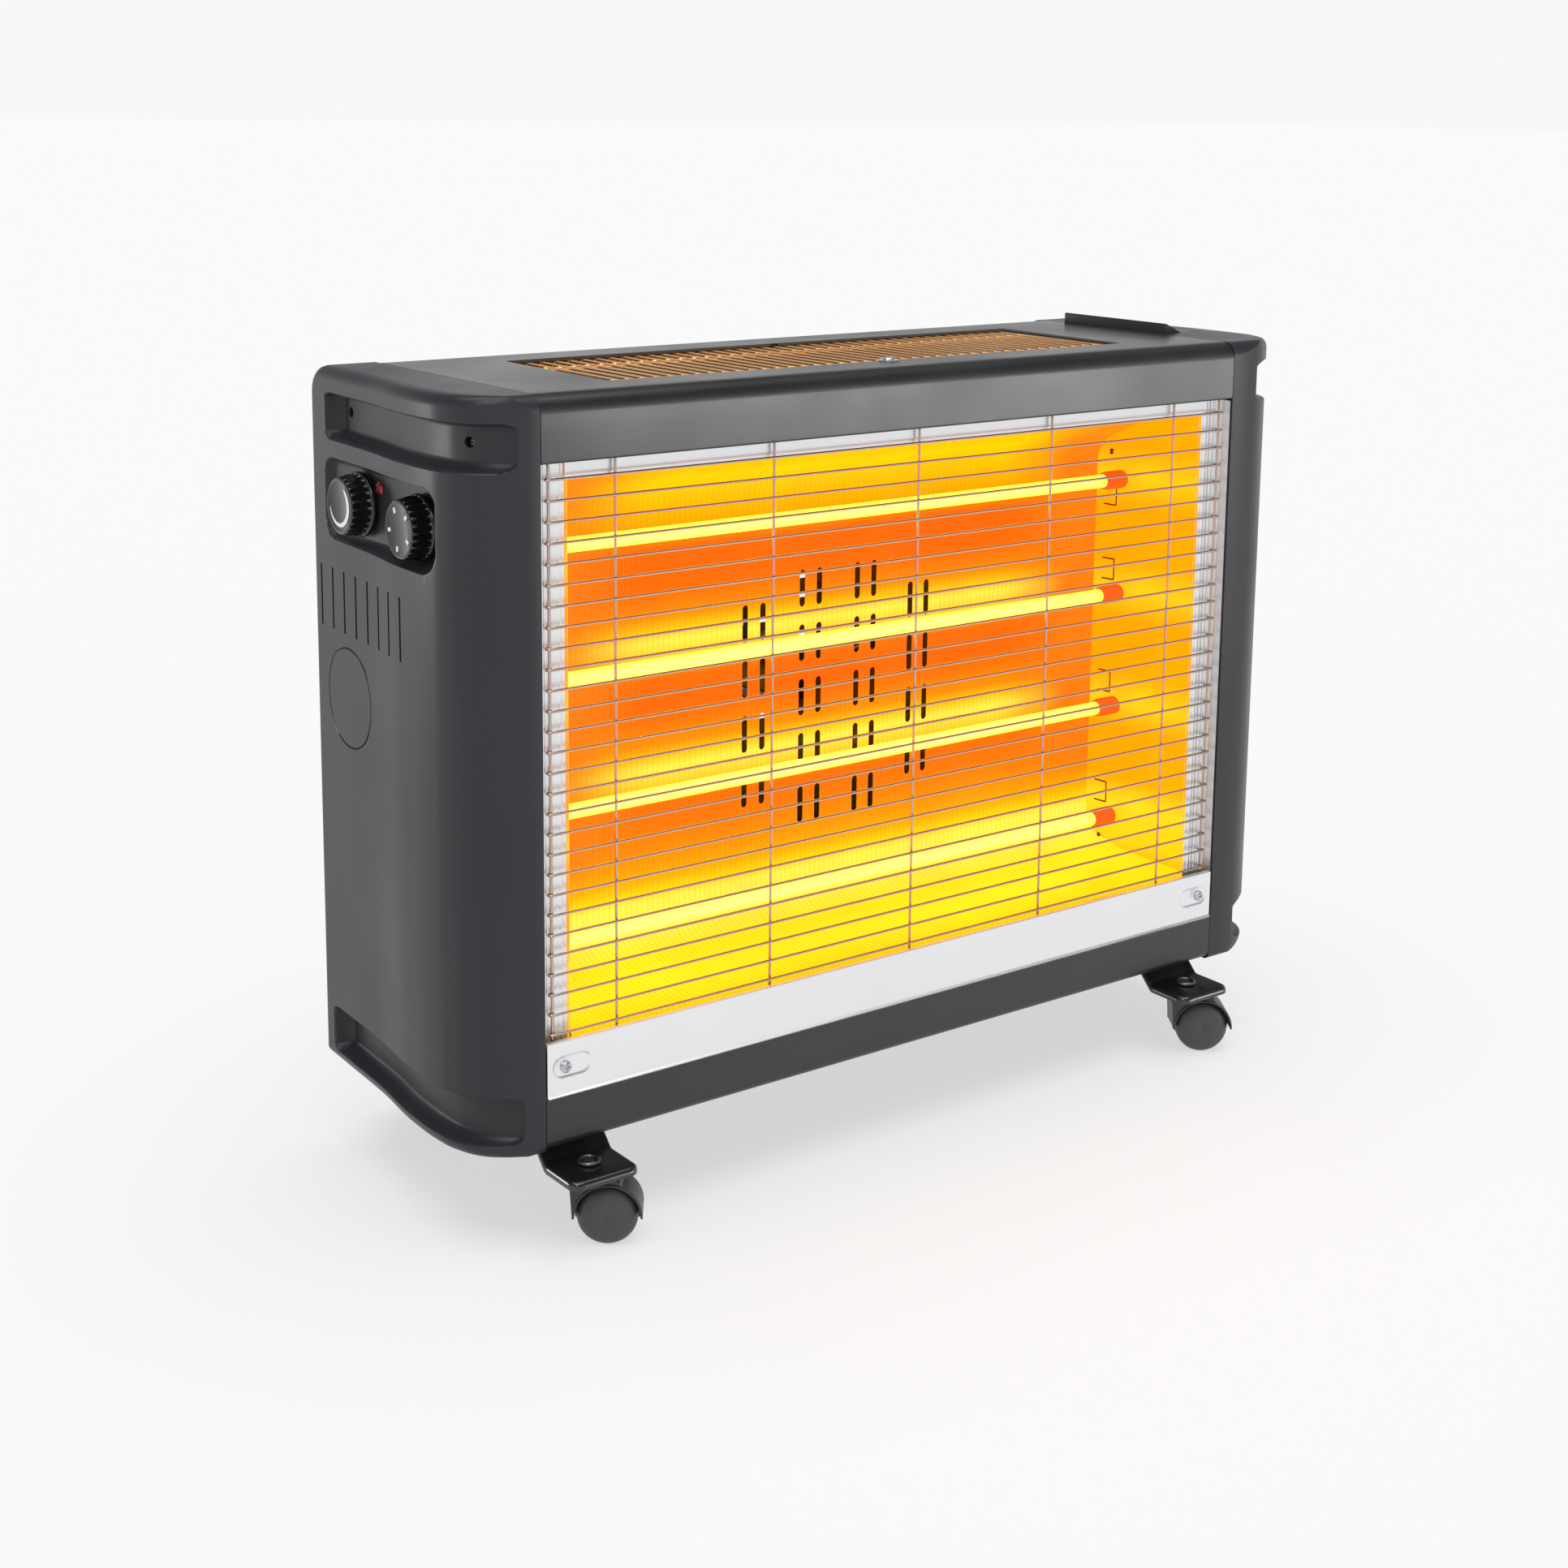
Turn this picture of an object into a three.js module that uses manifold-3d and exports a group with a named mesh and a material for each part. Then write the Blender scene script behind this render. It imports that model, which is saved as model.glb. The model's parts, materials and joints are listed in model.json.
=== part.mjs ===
// Quartz radiant heater on castors. Millimetres, +Z up, front face towards -Y, controls on the -X end.
import * as THREE from 'three';
import { mergeVertices } from 'three/addons/utils/BufferGeometryUtils.js';
import Module from 'manifold-3d';

const wasm = await Module();
wasm.setup();

// ---- driving dimensions ----
const HALF_W = 295;            // half width of the sheet metal body, to the cap seams
const Z_BASE = 64.5;           // underside of the body
const Z_RAIL = 98;             // top of the front rail
const Z_SILL = 134;            // top of the bright sill strip
const Z_FASCIA = 497;          // lower edge of the fascia
const Z_TOP = 538.5;           // top surface
const DEPTH = 220;             // front face to rear face of the metal body
const CAP_DEPTH = 228;         // the caps stand a little proud at the back
const SHEET = 1.2;             // sheet steel thickness
const HEM = 3.7;               // the hems at the opening stop in front of the guard's posts
const GAP = 0.4;               // clearance between neighbouring parts
const CAP_WALL = 2.6;          // moulded cap wall
const GUARD_WIRES = 28;
const GUARD_LOW = 138;
const GUARD_HIGH = 487;
const TUBE_COUNT = 4;
const TUBE_LOW_Z = 164;
const TUBE_PITCH = 88.5;
const TUBE_Y = 80;
const TUBE_R = 5;
const TUBE_SIDES = 12;
const REFLECTOR_Y = 106;       // back plane of the reflector
const FAN_X = 12;
const FAN_Z = 294;
const WHEEL_R = 19.5;
const STEM_Y = 4;              // castor stem, in front of and behind the body's edge
const STEM_X = 267;
const TRAIL = 12;              // castor stem to axle
const CASTOR_TURN = 35;        // degrees the castors are swung at rest
const SHIFT_X = -6;            // brings the middle of the overall box to the origin
const SHIFT_Y = -106.5;

const group = new THREE.Group();

// ---- materials ----
const COLOURS = {
  capPlastic: [0x4a4a4f, 0.55, 0.0],
  paintedSteel: [0x3a3b3e, 0.42, 0.25],
  brightSheet: [0xc9cace, 0.28, 0.9],
  reflectorSheet: [0xf0a040, 0.3, 0.85],
  chromeWire: [0xd0c6c0, 0.2, 1.0],
  quartz: [0xffe27a, 0.15, 0.0],
  coil: [0xffb24a, 0.5, 0.6],
  ceramic: [0xd9c7a8, 0.75, 0.0],
  blackPlastic: [0x101011, 0.3, 0.0],
  redLens: [0xb01818, 0.25, 0.0],
  steel: [0xb8bac0, 0.3, 0.9],
  blackSteel: [0x1c1c1e, 0.25, 0.5],
  wheelPlastic: [0x555657, 0.5, 0.0],
  clearPlastic: [0xbfc4c8, 0.35, 0.0],
};

// ---- solids ----
function toSolid(geometry) {
  const bare = geometry.clone();
  bare.deleteAttribute('normal');
  bare.deleteAttribute('uv');
  const merged = mergeVertices(bare, 1e-4);
  const mesh = new wasm.Mesh({
    numProp: 3,
    vertProperties: new Float32Array(merged.attributes.position.array),
    triVerts: new Uint32Array(merged.index.array),
  });
  return new wasm.Manifold(mesh);
}

function toGeometry(solid) {
  const mesh = solid.getMesh();
  const geometry = new THREE.BufferGeometry();
  geometry.setAttribute('position', new THREE.BufferAttribute(new Float32Array(mesh.vertProperties), 3));
  geometry.setIndex(new THREE.BufferAttribute(new Uint32Array(mesh.triVerts), 1));
  return geometry;
}

function place(name, solid, colour) {
  const [hex, roughness, metalness] = COLOURS[colour];
  const geometry = toGeometry(solid);
  geometry.translate(SHIFT_X, SHIFT_Y, 0);
  geometry.computeVertexNormals();
  const material = new THREE.MeshStandardMaterial({ color: hex, roughness, metalness });
  material.name = name;
  const mesh = new THREE.Mesh(geometry, material);
  mesh.name = name;
  group.add(mesh);
}

function shapeOf(points) {
  return new THREE.Shape(points.map(([a, b]) => new THREE.Vector2(a, b)));
}

// Axes that carry an extrusion's own (u, v, depth) to model axes.
const AXES = {
  x: [[0, 1, 0], [0, 0, 1], [1, 0, 0]],   // outline in (y, z), depth along x
  y: [[0, 0, 1], [1, 0, 0], [0, 1, 0]],   // outline in (z, x), depth along y
  z: [[1, 0, 0], [0, 1, 0], [0, 0, 1]],   // outline in (x, y), depth along z
};

function turned(geometry, axis) {
  const [u, v, w] = AXES[axis].map((a) => new THREE.Vector3(...a));
  return geometry.applyMatrix4(new THREE.Matrix4().makeBasis(u, v, w));
}

function prism(points, axis, from, to, bevel = 0) {
  const geometry = new THREE.ExtrudeGeometry(shapeOf(points), {
    depth: to - from - 2 * bevel,
    bevelEnabled: bevel > 0,
    bevelSize: bevel,
    bevelOffset: -bevel,
    bevelThickness: bevel,
    bevelSegments: 2,
    curveSegments: 1,
  });
  geometry.translate(0, 0, from + bevel);
  return toSolid(turned(geometry, axis));
}

function box(x0, x1, y0, y1, z0, z1) {
  const geometry = new THREE.BoxGeometry(x1 - x0, y1 - y0, z1 - z0);
  geometry.translate((x0 + x1) / 2, (y0 + y1) / 2, (z0 + z1) / 2);
  return toSolid(geometry);
}

// A round bar along an axis: centre in the two other coordinates, in the order of AXES.
function rod(axis, radius, u, v, from, to, sides = 16, endRadius = radius) {
  const geometry = new THREE.CylinderGeometry(endRadius, radius, to - from, sides);
  geometry.rotateX(Math.PI / 2);
  geometry.translate(u, v, (from + to) / 2);
  return toSolid(turned(geometry, axis));
}

// A turned solid: profile of (radius, height) points from axis to axis, height along the given axis.
function turnedSolid(axis, profile, u, v, sides = 24) {
  const geometry = new THREE.LatheGeometry(profile.map(([r, h]) => new THREE.Vector2(r, h)), sides);
  geometry.rotateX(Math.PI / 2);
  geometry.translate(u, v, 0);
  return toSolid(turned(geometry, axis));
}

// Rounds each corner of an open or closed run of points; corners are [u, v, radius].
function rounded(corners, closed = true, steps = 3) {
  const out = [];
  const count = corners.length;
  for (let i = 0; i < count; i += 1) {
    const [cu, cv, radius = 0] = corners[i];
    const isEnd = !closed && (i === 0 || i === count - 1);
    if (radius === 0 || isEnd) {
      out.push([cu, cv]);
      continue;
    }
    const corner = new THREE.Vector2(cu, cv);
    const before = new THREE.Vector2(...corners[(i + count - 1) % count].slice(0, 2)).sub(corner).normalize();
    const after = new THREE.Vector2(...corners[(i + 1) % count].slice(0, 2)).sub(corner).normalize();
    const half = Math.acos(THREE.MathUtils.clamp(before.dot(after), -1, 1)) / 2;
    const reach = radius / Math.tan(half);
    const centre = before.clone().add(after).normalize().multiplyScalar(radius / Math.sin(half)).add(corner);
    const start = before.multiplyScalar(reach).add(corner).sub(centre);
    const end = after.multiplyScalar(reach).add(corner).sub(centre);
    const sweep = Math.atan2(start.cross(end), start.dot(end));
    for (let k = 0; k <= steps; k += 1) {
      const p = start.clone().rotateAround(new THREE.Vector2(), (sweep * k) / steps).add(centre);
      out.push([p.x, p.y]);
    }
  }
  return out;
}

// Moves each point of a run sideways by a distance, to the left of the way it runs.
function offsetRun(points, distance, closed) {
  const count = points.length;
  return points.map(([u, v], i) => {
    const hasBefore = closed || i > 0;
    const hasAfter = closed || i < count - 1;
    const here = new THREE.Vector2(u, v);
    const normals = [];
    if (hasBefore) {
      const d = here.clone().sub(new THREE.Vector2(...points[(i + count - 1) % count])).normalize();
      normals.push(new THREE.Vector2(-d.y, d.x));
    }
    if (hasAfter) {
      const d = new THREE.Vector2(...points[(i + 1) % count]).sub(here).normalize();
      normals.push(new THREE.Vector2(-d.y, d.x));
    }
    const mean = normals.reduce((a, b) => a.clone().add(b)).normalize();
    const scale = distance / Math.max(0.3, mean.dot(normals[0]));
    return [u + mean.x * scale, v + mean.y * scale];
  });
}

// The outline of a bent sheet: a run of points and its copy one thickness to the left.
function sheetOutline(corners, thickness) {
  const run = rounded(corners, false);
  return run.concat(offsetRun(run, thickness, false).reverse());
}

function roundedRect(u0, u1, v0, v1, radius, steps = 3) {
  return rounded([[u0, v0, radius], [u1, v0, radius], [u1, v1, radius], [u0, v1, radius]], true, steps);
}

function union(solids) {
  return solids.reduce((a, b) => a.add(b));
}

function cut(solid, tools) {
  return tools.reduce((a, b) => a.subtract(b), solid);
}

// ---- end caps ----
// Plan of each cap as [reach from the middle, y], from the rear corner round to the front seam.
const CAP_PLANS = {
  left: [[331, 228], [336, 223], [340, 138], [345, 88], [344.5, 46], [341, 32], [335, 20], [323, 9],
    [309, 2], [298, 0]],
  right: [[347, 228], [352, 223], [357, 138], [362, 88], [361.5, 46], [358, 32], [351, 20], [338, 9],
    [322, 2], [302, 0]],
};
const CAP_BEVEL = 7;
const GRIP_DEPTH = 12;
const UPPER_GRIP = { y0: 6, y1: 203, z0: 492, z1: 523 };
const LOWER_GRIP = { y0: 6, y1: 211, z0: 70, z1: 103 };
const CONTROL = { y0: 42, y1: 203, z0: 427, z1: 481, floor: 331.5, radius: 12 };
const GRIP_SCREW_HOLES = [[28, 510], [186, 510]];
const KNOB_AT = { thermostat: [157, 455], selector: [77, 452] };
const LENS = { y: 135, z: 468 };
const CAP_SLOTS = { count: 8, y0: 87, pitch: 18, z0: 367, z1: 408, width: 2.4 };

function capPlan(side, inset, seam) {
  const outer = CAP_PLANS[side];
  const plan = [[seam, 0], [seam, CAP_DEPTH], ...outer];
  const shrunk = inset === 0 ? plan : offsetRun(plan, -inset, true);
  return shrunk.map(([reach, y], i) => [i < 2 ? seam : reach, y]);
}

// Half of the caps is built on the +x side and mirrored afterwards.
function capPrism(side, inset, seam, z0, z1, bevel) {
  const plan = capPlan(side, inset, seam).reverse();
  const ccw = THREE.ShapeUtils.isClockWise(plan.map(([x, y]) => new THREE.Vector2(x, y)));
  return prism(ccw ? plan.reverse() : plan, 'z', z0, z1, bevel);
}

function capProfile(inset) {
  const low = Z_BASE - 2 + inset;
  const high = Z_TOP - inset;
  return rounded([[inset, low, 5], [CAP_DEPTH - inset, low, 6], [CAP_DEPTH - inset, high, 18],
    [inset, high, 10]]);
}

function gripBand(side, grip, depth, extra) {
  const { y0, y1, z0, z1 } = grip;
  const outline = roundedRect(y0 - extra, y1 + extra, z0 - extra, z1 + extra, 10);
  const window = prism(outline, 'x', 280, 380);
  const behind = capPrism(side, 0, 200, 0, 600, 0).translate([-depth, 0, 0]);
  return window.subtract(behind.intersect(box(0, 400, -20, CAP_DEPTH - 6, 0, 600)));
}

function slotOutline(y, z0, z1, width) {
  return roundedRect(y - width / 2, y + width / 2, z0, z1, width * 0.35, 1);
}

function buildCap(side) {
  const reachEnd = 400;
  const innerX = HALF_W + GAP;
  const outer = capPrism(side, 0, 270, Z_BASE - 2, Z_TOP, CAP_BEVEL)
    .intersect(prism(capProfile(0), 'x', 0, reachEnd))
    .intersect(box(innerX, reachEnd, -10, 260, 0, 600));
  let hollow = capPrism(side, CAP_WALL, 200, Z_BASE - 2 + CAP_WALL, Z_TOP - CAP_WALL, CAP_BEVEL - 1)
    .intersect(prism(capProfile(CAP_WALL), 'x', 0, reachEnd));
  const pockets = [];
  for (const grip of [UPPER_GRIP, LOWER_GRIP]) {
    pockets.push(gripBand(side, grip, GRIP_DEPTH, 0));
    hollow = hollow.subtract(gripBand(side, grip, GRIP_DEPTH + CAP_WALL, CAP_WALL));
  }
  if (side === 'left') {
    const { y0, y1, z0, z1, floor, radius } = CONTROL;
    pockets.push(prism(roundedRect(y0, y1, z0, z1, radius), 'x', floor, reachEnd));
    const wall = roundedRect(y0 - CAP_WALL, y1 + CAP_WALL, z0 - CAP_WALL, z1 + CAP_WALL, radius);
    hollow = hollow.subtract(prism(wall, 'x', floor - CAP_WALL, reachEnd));
  }
  let cap = outer.subtract(hollow);
  cap = cut(cap, pockets);
  const through = [];
  for (let k = 0; k < CAP_SLOTS.count; k += 1) {
    const { y0, pitch, z0, z1, width } = CAP_SLOTS;
    through.push(prism(slotOutline(y0 + pitch * k, z0, z1, width), 'x', 300, reachEnd));
  }
  for (const [y, z] of GRIP_SCREW_HOLES) {
    through.push(rod('x', 3.2, y, z, 280, reachEnd, 12));
  }
  if (side === 'left') {
    for (const [y, z] of Object.values(KNOB_AT)) {
      through.push(rod('x', 5, y, z, 300, reachEnd, 16));
    }
    through.push(rod('x', 3.4, LENS.y, LENS.z, 300, reachEnd, 12));
  } else {
    through.push(...lidCuts());
    cap = cap.add(lidFrame());
  }
  cap = cut(cap, through);
  return side === 'left' ? cap.mirror([1, 0, 0]) : cap;
}

// ---- lid, its seat in the right cap and the water tray ----
const LID = { x0: 300, x1: 338, y0: 77, y1: 187, thickness: 2.2 };
const SEAT_DEPTH = 4;

function lidFrame() {
  return box(LID.x0 - 3, LID.x1 + 3, LID.y0 - 4, LID.y1 + 4, Z_TOP - 8.5, Z_TOP - 1);
}

function lidCuts() {
  const seat = box(LID.x0 - GAP, LID.x1 + GAP, LID.y0 - GAP, LID.y1 + GAP, Z_TOP - SEAT_DEPTH, Z_TOP + 5);
  const well = box(LID.x0 + 3, LID.x1 - 4, LID.y0 + 5, LID.y1 - 5, Z_TOP - 30, Z_TOP + 5);
  return [seat, well];
}

function buildLid() {
  const { x0, x1, y0, y1, thickness } = LID;
  const plate = box(x0, x1, y0, y1, Z_TOP - thickness, Z_TOP);
  const ridge = [[x0, Z_TOP - 1], [x0, Z_TOP + 7], [x0 + 2, Z_TOP + 7.6], [x0 + 18, Z_TOP + 0.6],
    [x0 + 19, Z_TOP - 1]].map(([x, z]) => [z, x]);
  return plate.add(prism(ridge.reverse(), 'y', y0, y1));
}

function buildTray() {
  const { x0, x1, y0, y1 } = LID;
  const top = Z_TOP - SEAT_DEPTH + 0.3;
  const flange = box(x0 + 0.6, x1 - 0.8, y0 + 1, y1 - 1, top, top + 1.2);
  const cup = box(x0 + 3.5, x1 - 4.5, y0 + 5.5, y1 - 5.5, top - 72, top + 1);
  const room = box(x0 + 5.2, x1 - 6.2, y0 + 7.2, y1 - 7.2, top - 70, top + 5);
  return flange.add(cup).subtract(room);
}

place('left_end_cap', buildCap('left'), 'capPlastic');
place('right_end_cap', buildCap('right'), 'capPlastic');
place('tray_lid', buildLid(), 'capPlastic');
place('water_tray', buildTray(), 'clearPlastic');

// ---- sheet metal body ----
const GRILLE = { x: 218, y0: 45, y1: 169 };
const GRILLE_SCREW = { x: 0, y: 39.5 };
const SHELL_X = HALF_W - 0.1;

function buildTopShell() {
  const run = [[HEM, Z_FASCIA], [0, Z_FASCIA, 1], [0, Z_TOP, 9], [DEPTH, Z_TOP, 17], [DEPTH, 508]];
  const shell = prism(sheetOutline(run, -SHEET), 'x', -SHELL_X, SHELL_X);
  const opening = prism(roundedRect(-GRILLE.x, GRILLE.x, GRILLE.y0, GRILLE.y1, 4), 'z', 520, 550);
  const screwHole = rod('z', 2.6, GRILLE_SCREW.x, GRILLE_SCREW.y, 520, 550, 12);
  return cut(shell, [opening, screwHole]);
}

function buildBasePan() {
  const run = [[HEM, Z_RAIL], [0, Z_RAIL, 1], [0, Z_BASE, 5], [DEPTH - 3.5, Z_BASE, 3], [DEPTH - 3.5, 104]];
  const pan = prism(sheetOutline(run, SHEET), 'x', -SHELL_X, SHELL_X);
  const vents = [];
  for (let k = 0; k < 9; k += 1) {
    const x = -160 + 40 * k;
    vents.push(box(x - 2, x + 2, 80, 150, 60, 70));
  }
  return cut(pan, vents);
}

const BUSHING = { x: -240, z: 126 };
const REAR_SLOT_ROWS = 9;
const REAR_PANEL = { y0: DEPTH - 2.9, y1: DEPTH - 1.7 };

function buildRearPanel() {
  const panel = box(-290, 290, REAR_PANEL.y0, REAR_PANEL.y1, 70, 519);
  const tools = [];
  // A round group of slots lets the fan draw air.
  for (let row = 0; row < REAR_SLOT_ROWS; row += 1) {
    const dz = (row - (REAR_SLOT_ROWS - 1) / 2) * 15;
    const half = Math.sqrt(82 * 82 - dz * dz);
    const slot = box(FAN_X - half, FAN_X + half, 200, 230, FAN_Z + dz - 2.2, FAN_Z + dz + 2.2);
    const rib = box(FAN_X - 3, FAN_X + 3, 190, 240, 0, 600);
    tools.push(slot.subtract(rib));
  }
  for (const side of [-1, 1]) {
    for (let k = 0; k < 5; k += 1) {
      const z = 430 + 14 * k;
      tools.push(box(side * 190 - 55, side * 190 + 55, 200, 230, z - 2.2, z + 2.2));
    }
  }
  tools.push(rod('y', 7, BUSHING.z, BUSHING.x, 200, 230, 16));
  return cut(panel, tools);
}

function buildSidePanel(side) {
  const outline = rounded([[12, 67, 3], [214, 67, 3], [214, 535, 14], [12, 535, 8]]);
  const panel = prism(outline, 'x', 290.6, 291.8);
  const wireHole = rod('x', 8, 190, 250, 280, 300, 16);
  const air = [];
  for (let k = 0; k < 4; k += 1) {
    air.push(box(280, 300, 140, 185, 330 + 20 * k, 336 + 20 * k));
  }
  const done = cut(panel, [wireHole, ...air]);
  return side < 0 ? done.mirror([1, 0, 0]) : done;
}

// The sill strip: a bright flat strip with a hemmed top and a raised oblong pad round each screw.
const SILL = { y0: 0.2, y1: 1.2 };
const SILL_SCREW = { x: 281, z: 117 };
const SILL_PAD_X = 276;

function buildSill() {
  const z0 = Z_RAIL + 0.5;
  const run = [[HEM, Z_SILL], [SILL.y0, Z_SILL, 0.8], [SILL.y0, z0 + 1], [-1.2, z0]];
  const strip = prism(sheetOutline(run, SILL.y1 - SILL.y0), 'x', -294, 294);
  const pads = [-1, 1].map((side) => {
    const u = side * SILL_PAD_X;
    const pad = roundedRect(SILL_SCREW.z - 7.5, SILL_SCREW.z + 7.5, u - 14, u + 14, 7.3, 3);
    return prism(pad, 'y', SILL.y0 - 0.9, SILL.y1 - 0.3);
  });
  const holes = [-1, 1].map((side) => rod('y', 2, SILL_SCREW.z, side * SILL_SCREW.x, -10, 10, 12));
  return cut(union([strip, ...pads]), holes);
}

place('top_shell', buildTopShell(), 'paintedSteel');
place('base_pan', buildBasePan(), 'paintedSteel');
place('rear_panel', buildRearPanel(), 'paintedSteel');
place('left_side_panel', buildSidePanel(-1), 'brightSheet');
place('right_side_panel', buildSidePanel(1), 'brightSheet');
place('sill_strip', buildSill(), 'brightSheet');

// ---- reflector ----
const END_X = 272;             // end reflectors at the front opening
const END_LEAN = 0.095;        // they lean in towards the back
const REFLECTOR_RUN = [[9, 496], [9, 489, 1.5], [66, 475, 26], [REFLECTOR_Y, 456, 26], [REFLECTOR_Y, 148, 24],
  [70, 138.5, 25], [9, 134.8, 1.5], [9, 126]];

const SLOT_GROUP = { rowPitch: 39.5, columnPitch: 51, pairHalf: 7.8, half: 12.8 };

function leanBox(inset) {
  const wide = END_X - inset;
  const far = 130;
  const back = wide - END_LEAN * far;
  return prism([[-wide, 0], [wide, 0], [back, far], [-back, far]], 'z', 100, 520);
}

function buildReflector() {
  const sheet = prism(sheetOutline(REFLECTOR_RUN, -1), 'x', -300, 300).intersect(leanBox(0.5));
  const slots = [];
  const columns = [[-1.5, 4], [-0.5, 5], [0.5, 5], [1.5, 4]];
  for (const [column, rows] of columns) {
    for (let row = 0; row < rows; row += 1) {
      const z = FAN_Z + (row - (rows - 1) / 2) * SLOT_GROUP.rowPitch;
      for (const pair of [-1, 1]) {
        const x = FAN_X + column * SLOT_GROUP.columnPitch + pair * SLOT_GROUP.pairHalf;
        const outline = roundedRect(z - SLOT_GROUP.half, z + SLOT_GROUP.half, x - 2.2, x + 2.2, 1.6, 1);
        slots.push(prism(outline, 'y', 90, 120));
      }
    }
  }
  for (const x of [-60, 130]) {
    slots.push(box(x - 7, x + 7, 30, 32.5, 130, 150));
  }
  slots.push(box(196, 212, 30, 32.5, 470, 495));
  return cut(sheet, slots);
}

function tubeZ(index) {
  return TUBE_LOW_Z + TUBE_PITCH * index;
}

const HOLDER_R = 8;

function buildEndReflector(side) {
  const inner = rounded(REFLECTOR_RUN, false).slice(1, -1);
  const outline = offsetRun(inner, 2.2, false);
  const plate = prism(outline, 'x', END_X, END_X + 1);
  const pad = prism(rounded([[34, 462, 20], [90, 452, 30], [90, 160, 30], [34, 150, 20]]), 'x',
    END_X - 2, END_X + 0.5);
  const leaned = applyShear(plate.add(pad));
  const flange = box(END_X - 0.6, 289.5, 10.2, 11.4, Z_SILL + 2, Z_FASCIA - 1.5);
  const joined = leaned.add(flange);
  const holes = [];
  for (let k = 0; k < TUBE_COUNT; k += 1) {
    holes.push(rod('x', HOLDER_R + GAP, TUBE_Y, tubeZ(k), 240, 285, 12));
  }
  const whole = cut(joined, holes);
  return side < 0 ? whole.mirror([1, 0, 0]) : whole;
}

function applyShear(solid) {
  const geometry = toGeometry(solid);
  const at = geometry.attributes.position;
  for (let i = 0; i < at.count; i += 1) {
    at.setX(i, at.getX(i) - END_LEAN * (at.getY(i) - 9));
  }
  return toSolid(geometry);
}

place('reflector', buildReflector(), 'reflectorSheet');
place('left_end_reflector', buildEndReflector(-1), 'reflectorSheet');
place('right_end_reflector', buildEndReflector(1), 'reflectorSheet');

// ---- tubes, coils and ceramic holders ----
const TUBE_END = 256;
const HOLDER = { inner: 244, outer: 286 };
const COIL = { radius: 2.6, wire: 0.5, end: 252, turns: 10, steps: 6 };

class Helix extends THREE.Curve {
  constructor(y, z) {
    super();
    this.y = y;
    this.z = z;
  }

  getPoint(t, target = new THREE.Vector3()) {
    const angle = t * COIL.turns * 2 * Math.PI;
    const x = -COIL.end + 2 * COIL.end * t;
    return target.set(x, this.y + COIL.radius * Math.cos(angle), this.z + COIL.radius * Math.sin(angle));
  }
}

function buildCoil(z) {
  const w = COIL.wire;
  const geometry = new THREE.ExtrudeGeometry(shapeOf([[-w, -w], [w, -w], [0, w]]), {
    steps: COIL.turns * COIL.steps,
    extrudePath: new Helix(TUBE_Y, z),
    bevelEnabled: false,
  });
  return toSolid(geometry);
}

for (let k = 0; k < TUBE_COUNT; k += 1) {
  const z = tubeZ(k);
  const tube = rod('x', TUBE_R, TUBE_Y, z, -TUBE_END, TUBE_END, TUBE_SIDES)
    .subtract(rod('x', TUBE_R - 1, TUBE_Y, z, -TUBE_END - 1, TUBE_END + 1, TUBE_SIDES));
  place(`quartz_tube_${k + 1}`, tube, 'quartz');
  place(`heating_coil_${k + 1}`, buildCoil(z), 'coil');
  for (const [name, side] of [['left', -1], ['right', 1]]) {
    const body = rod('x', HOLDER_R - 1, TUBE_Y, z, HOLDER.inner, HOLDER.outer, TUBE_SIDES);
    const collar = rod('x', HOLDER_R + 2, TUBE_Y, z, 271, 276, TUBE_SIDES);
    const pin = rod('x', 2, TUBE_Y, z, 283, 289, 6);
    const socket = rod('x', TUBE_R + GAP, TUBE_Y, z, HOLDER.inner - 1, TUBE_END + 1, TUBE_SIDES);
    const holder = union([body, collar, pin]).subtract(socket);
    place(`ceramic_holder_${k + 1}_${name}`, side < 0 ? holder.mirror([1, 0, 0]) : holder, 'ceramic');
  }
}

// ---- front guard and top grille ----
const GUARD_ROW_Y = 3.4;
const GUARD_POST_Y = 5.3;
const GUARD_R = 1.1;

// A wire with a square section of the given half width, set on its corner.
function wire(axis, half, u, v, from, to) {
  return prism([[u - half, v], [u, v - half], [u + half, v], [u, v + half]], axis, from, to);
}

function buildGuard() {
  const bars = [];
  const pitch = (GUARD_HIGH - GUARD_LOW) / (GUARD_WIRES - 1);
  for (let k = 0; k < GUARD_WIRES; k += 1) {
    bars.push(wire('x', GUARD_R, GUARD_ROW_Y, GUARD_LOW + pitch * k, -289.5, 289.5));
  }
  for (const x of [-287.5, -240, -120, 0, 120, 240, 287.5]) {
    bars.push(wire('z', GUARD_R, x, GUARD_POST_Y, 112, 508));
  }
  return union(bars);
}

function buildGrille() {
  const bars = [];
  const count = 41;
  for (let k = 0; k < count; k += 1) {
    const x = -215 + (430 * k) / (count - 1);
    bars.push(wire('y', 1, Z_TOP - 2.6, x, 42, 172));
  }
  for (const y of [66, 148]) {
    bars.push(wire('x', 1.2, y, Z_TOP - 4.4, -222, 222));
  }
  return union(bars);
}

place('front_guard', buildGuard(), 'chromeWire');
place('top_grille', buildGrille(), 'chromeWire');

// ---- controls ----
const KNOB = { floor: 334, face: 350, baseR: 21, faceR: 18, ribs: 18 };

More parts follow.
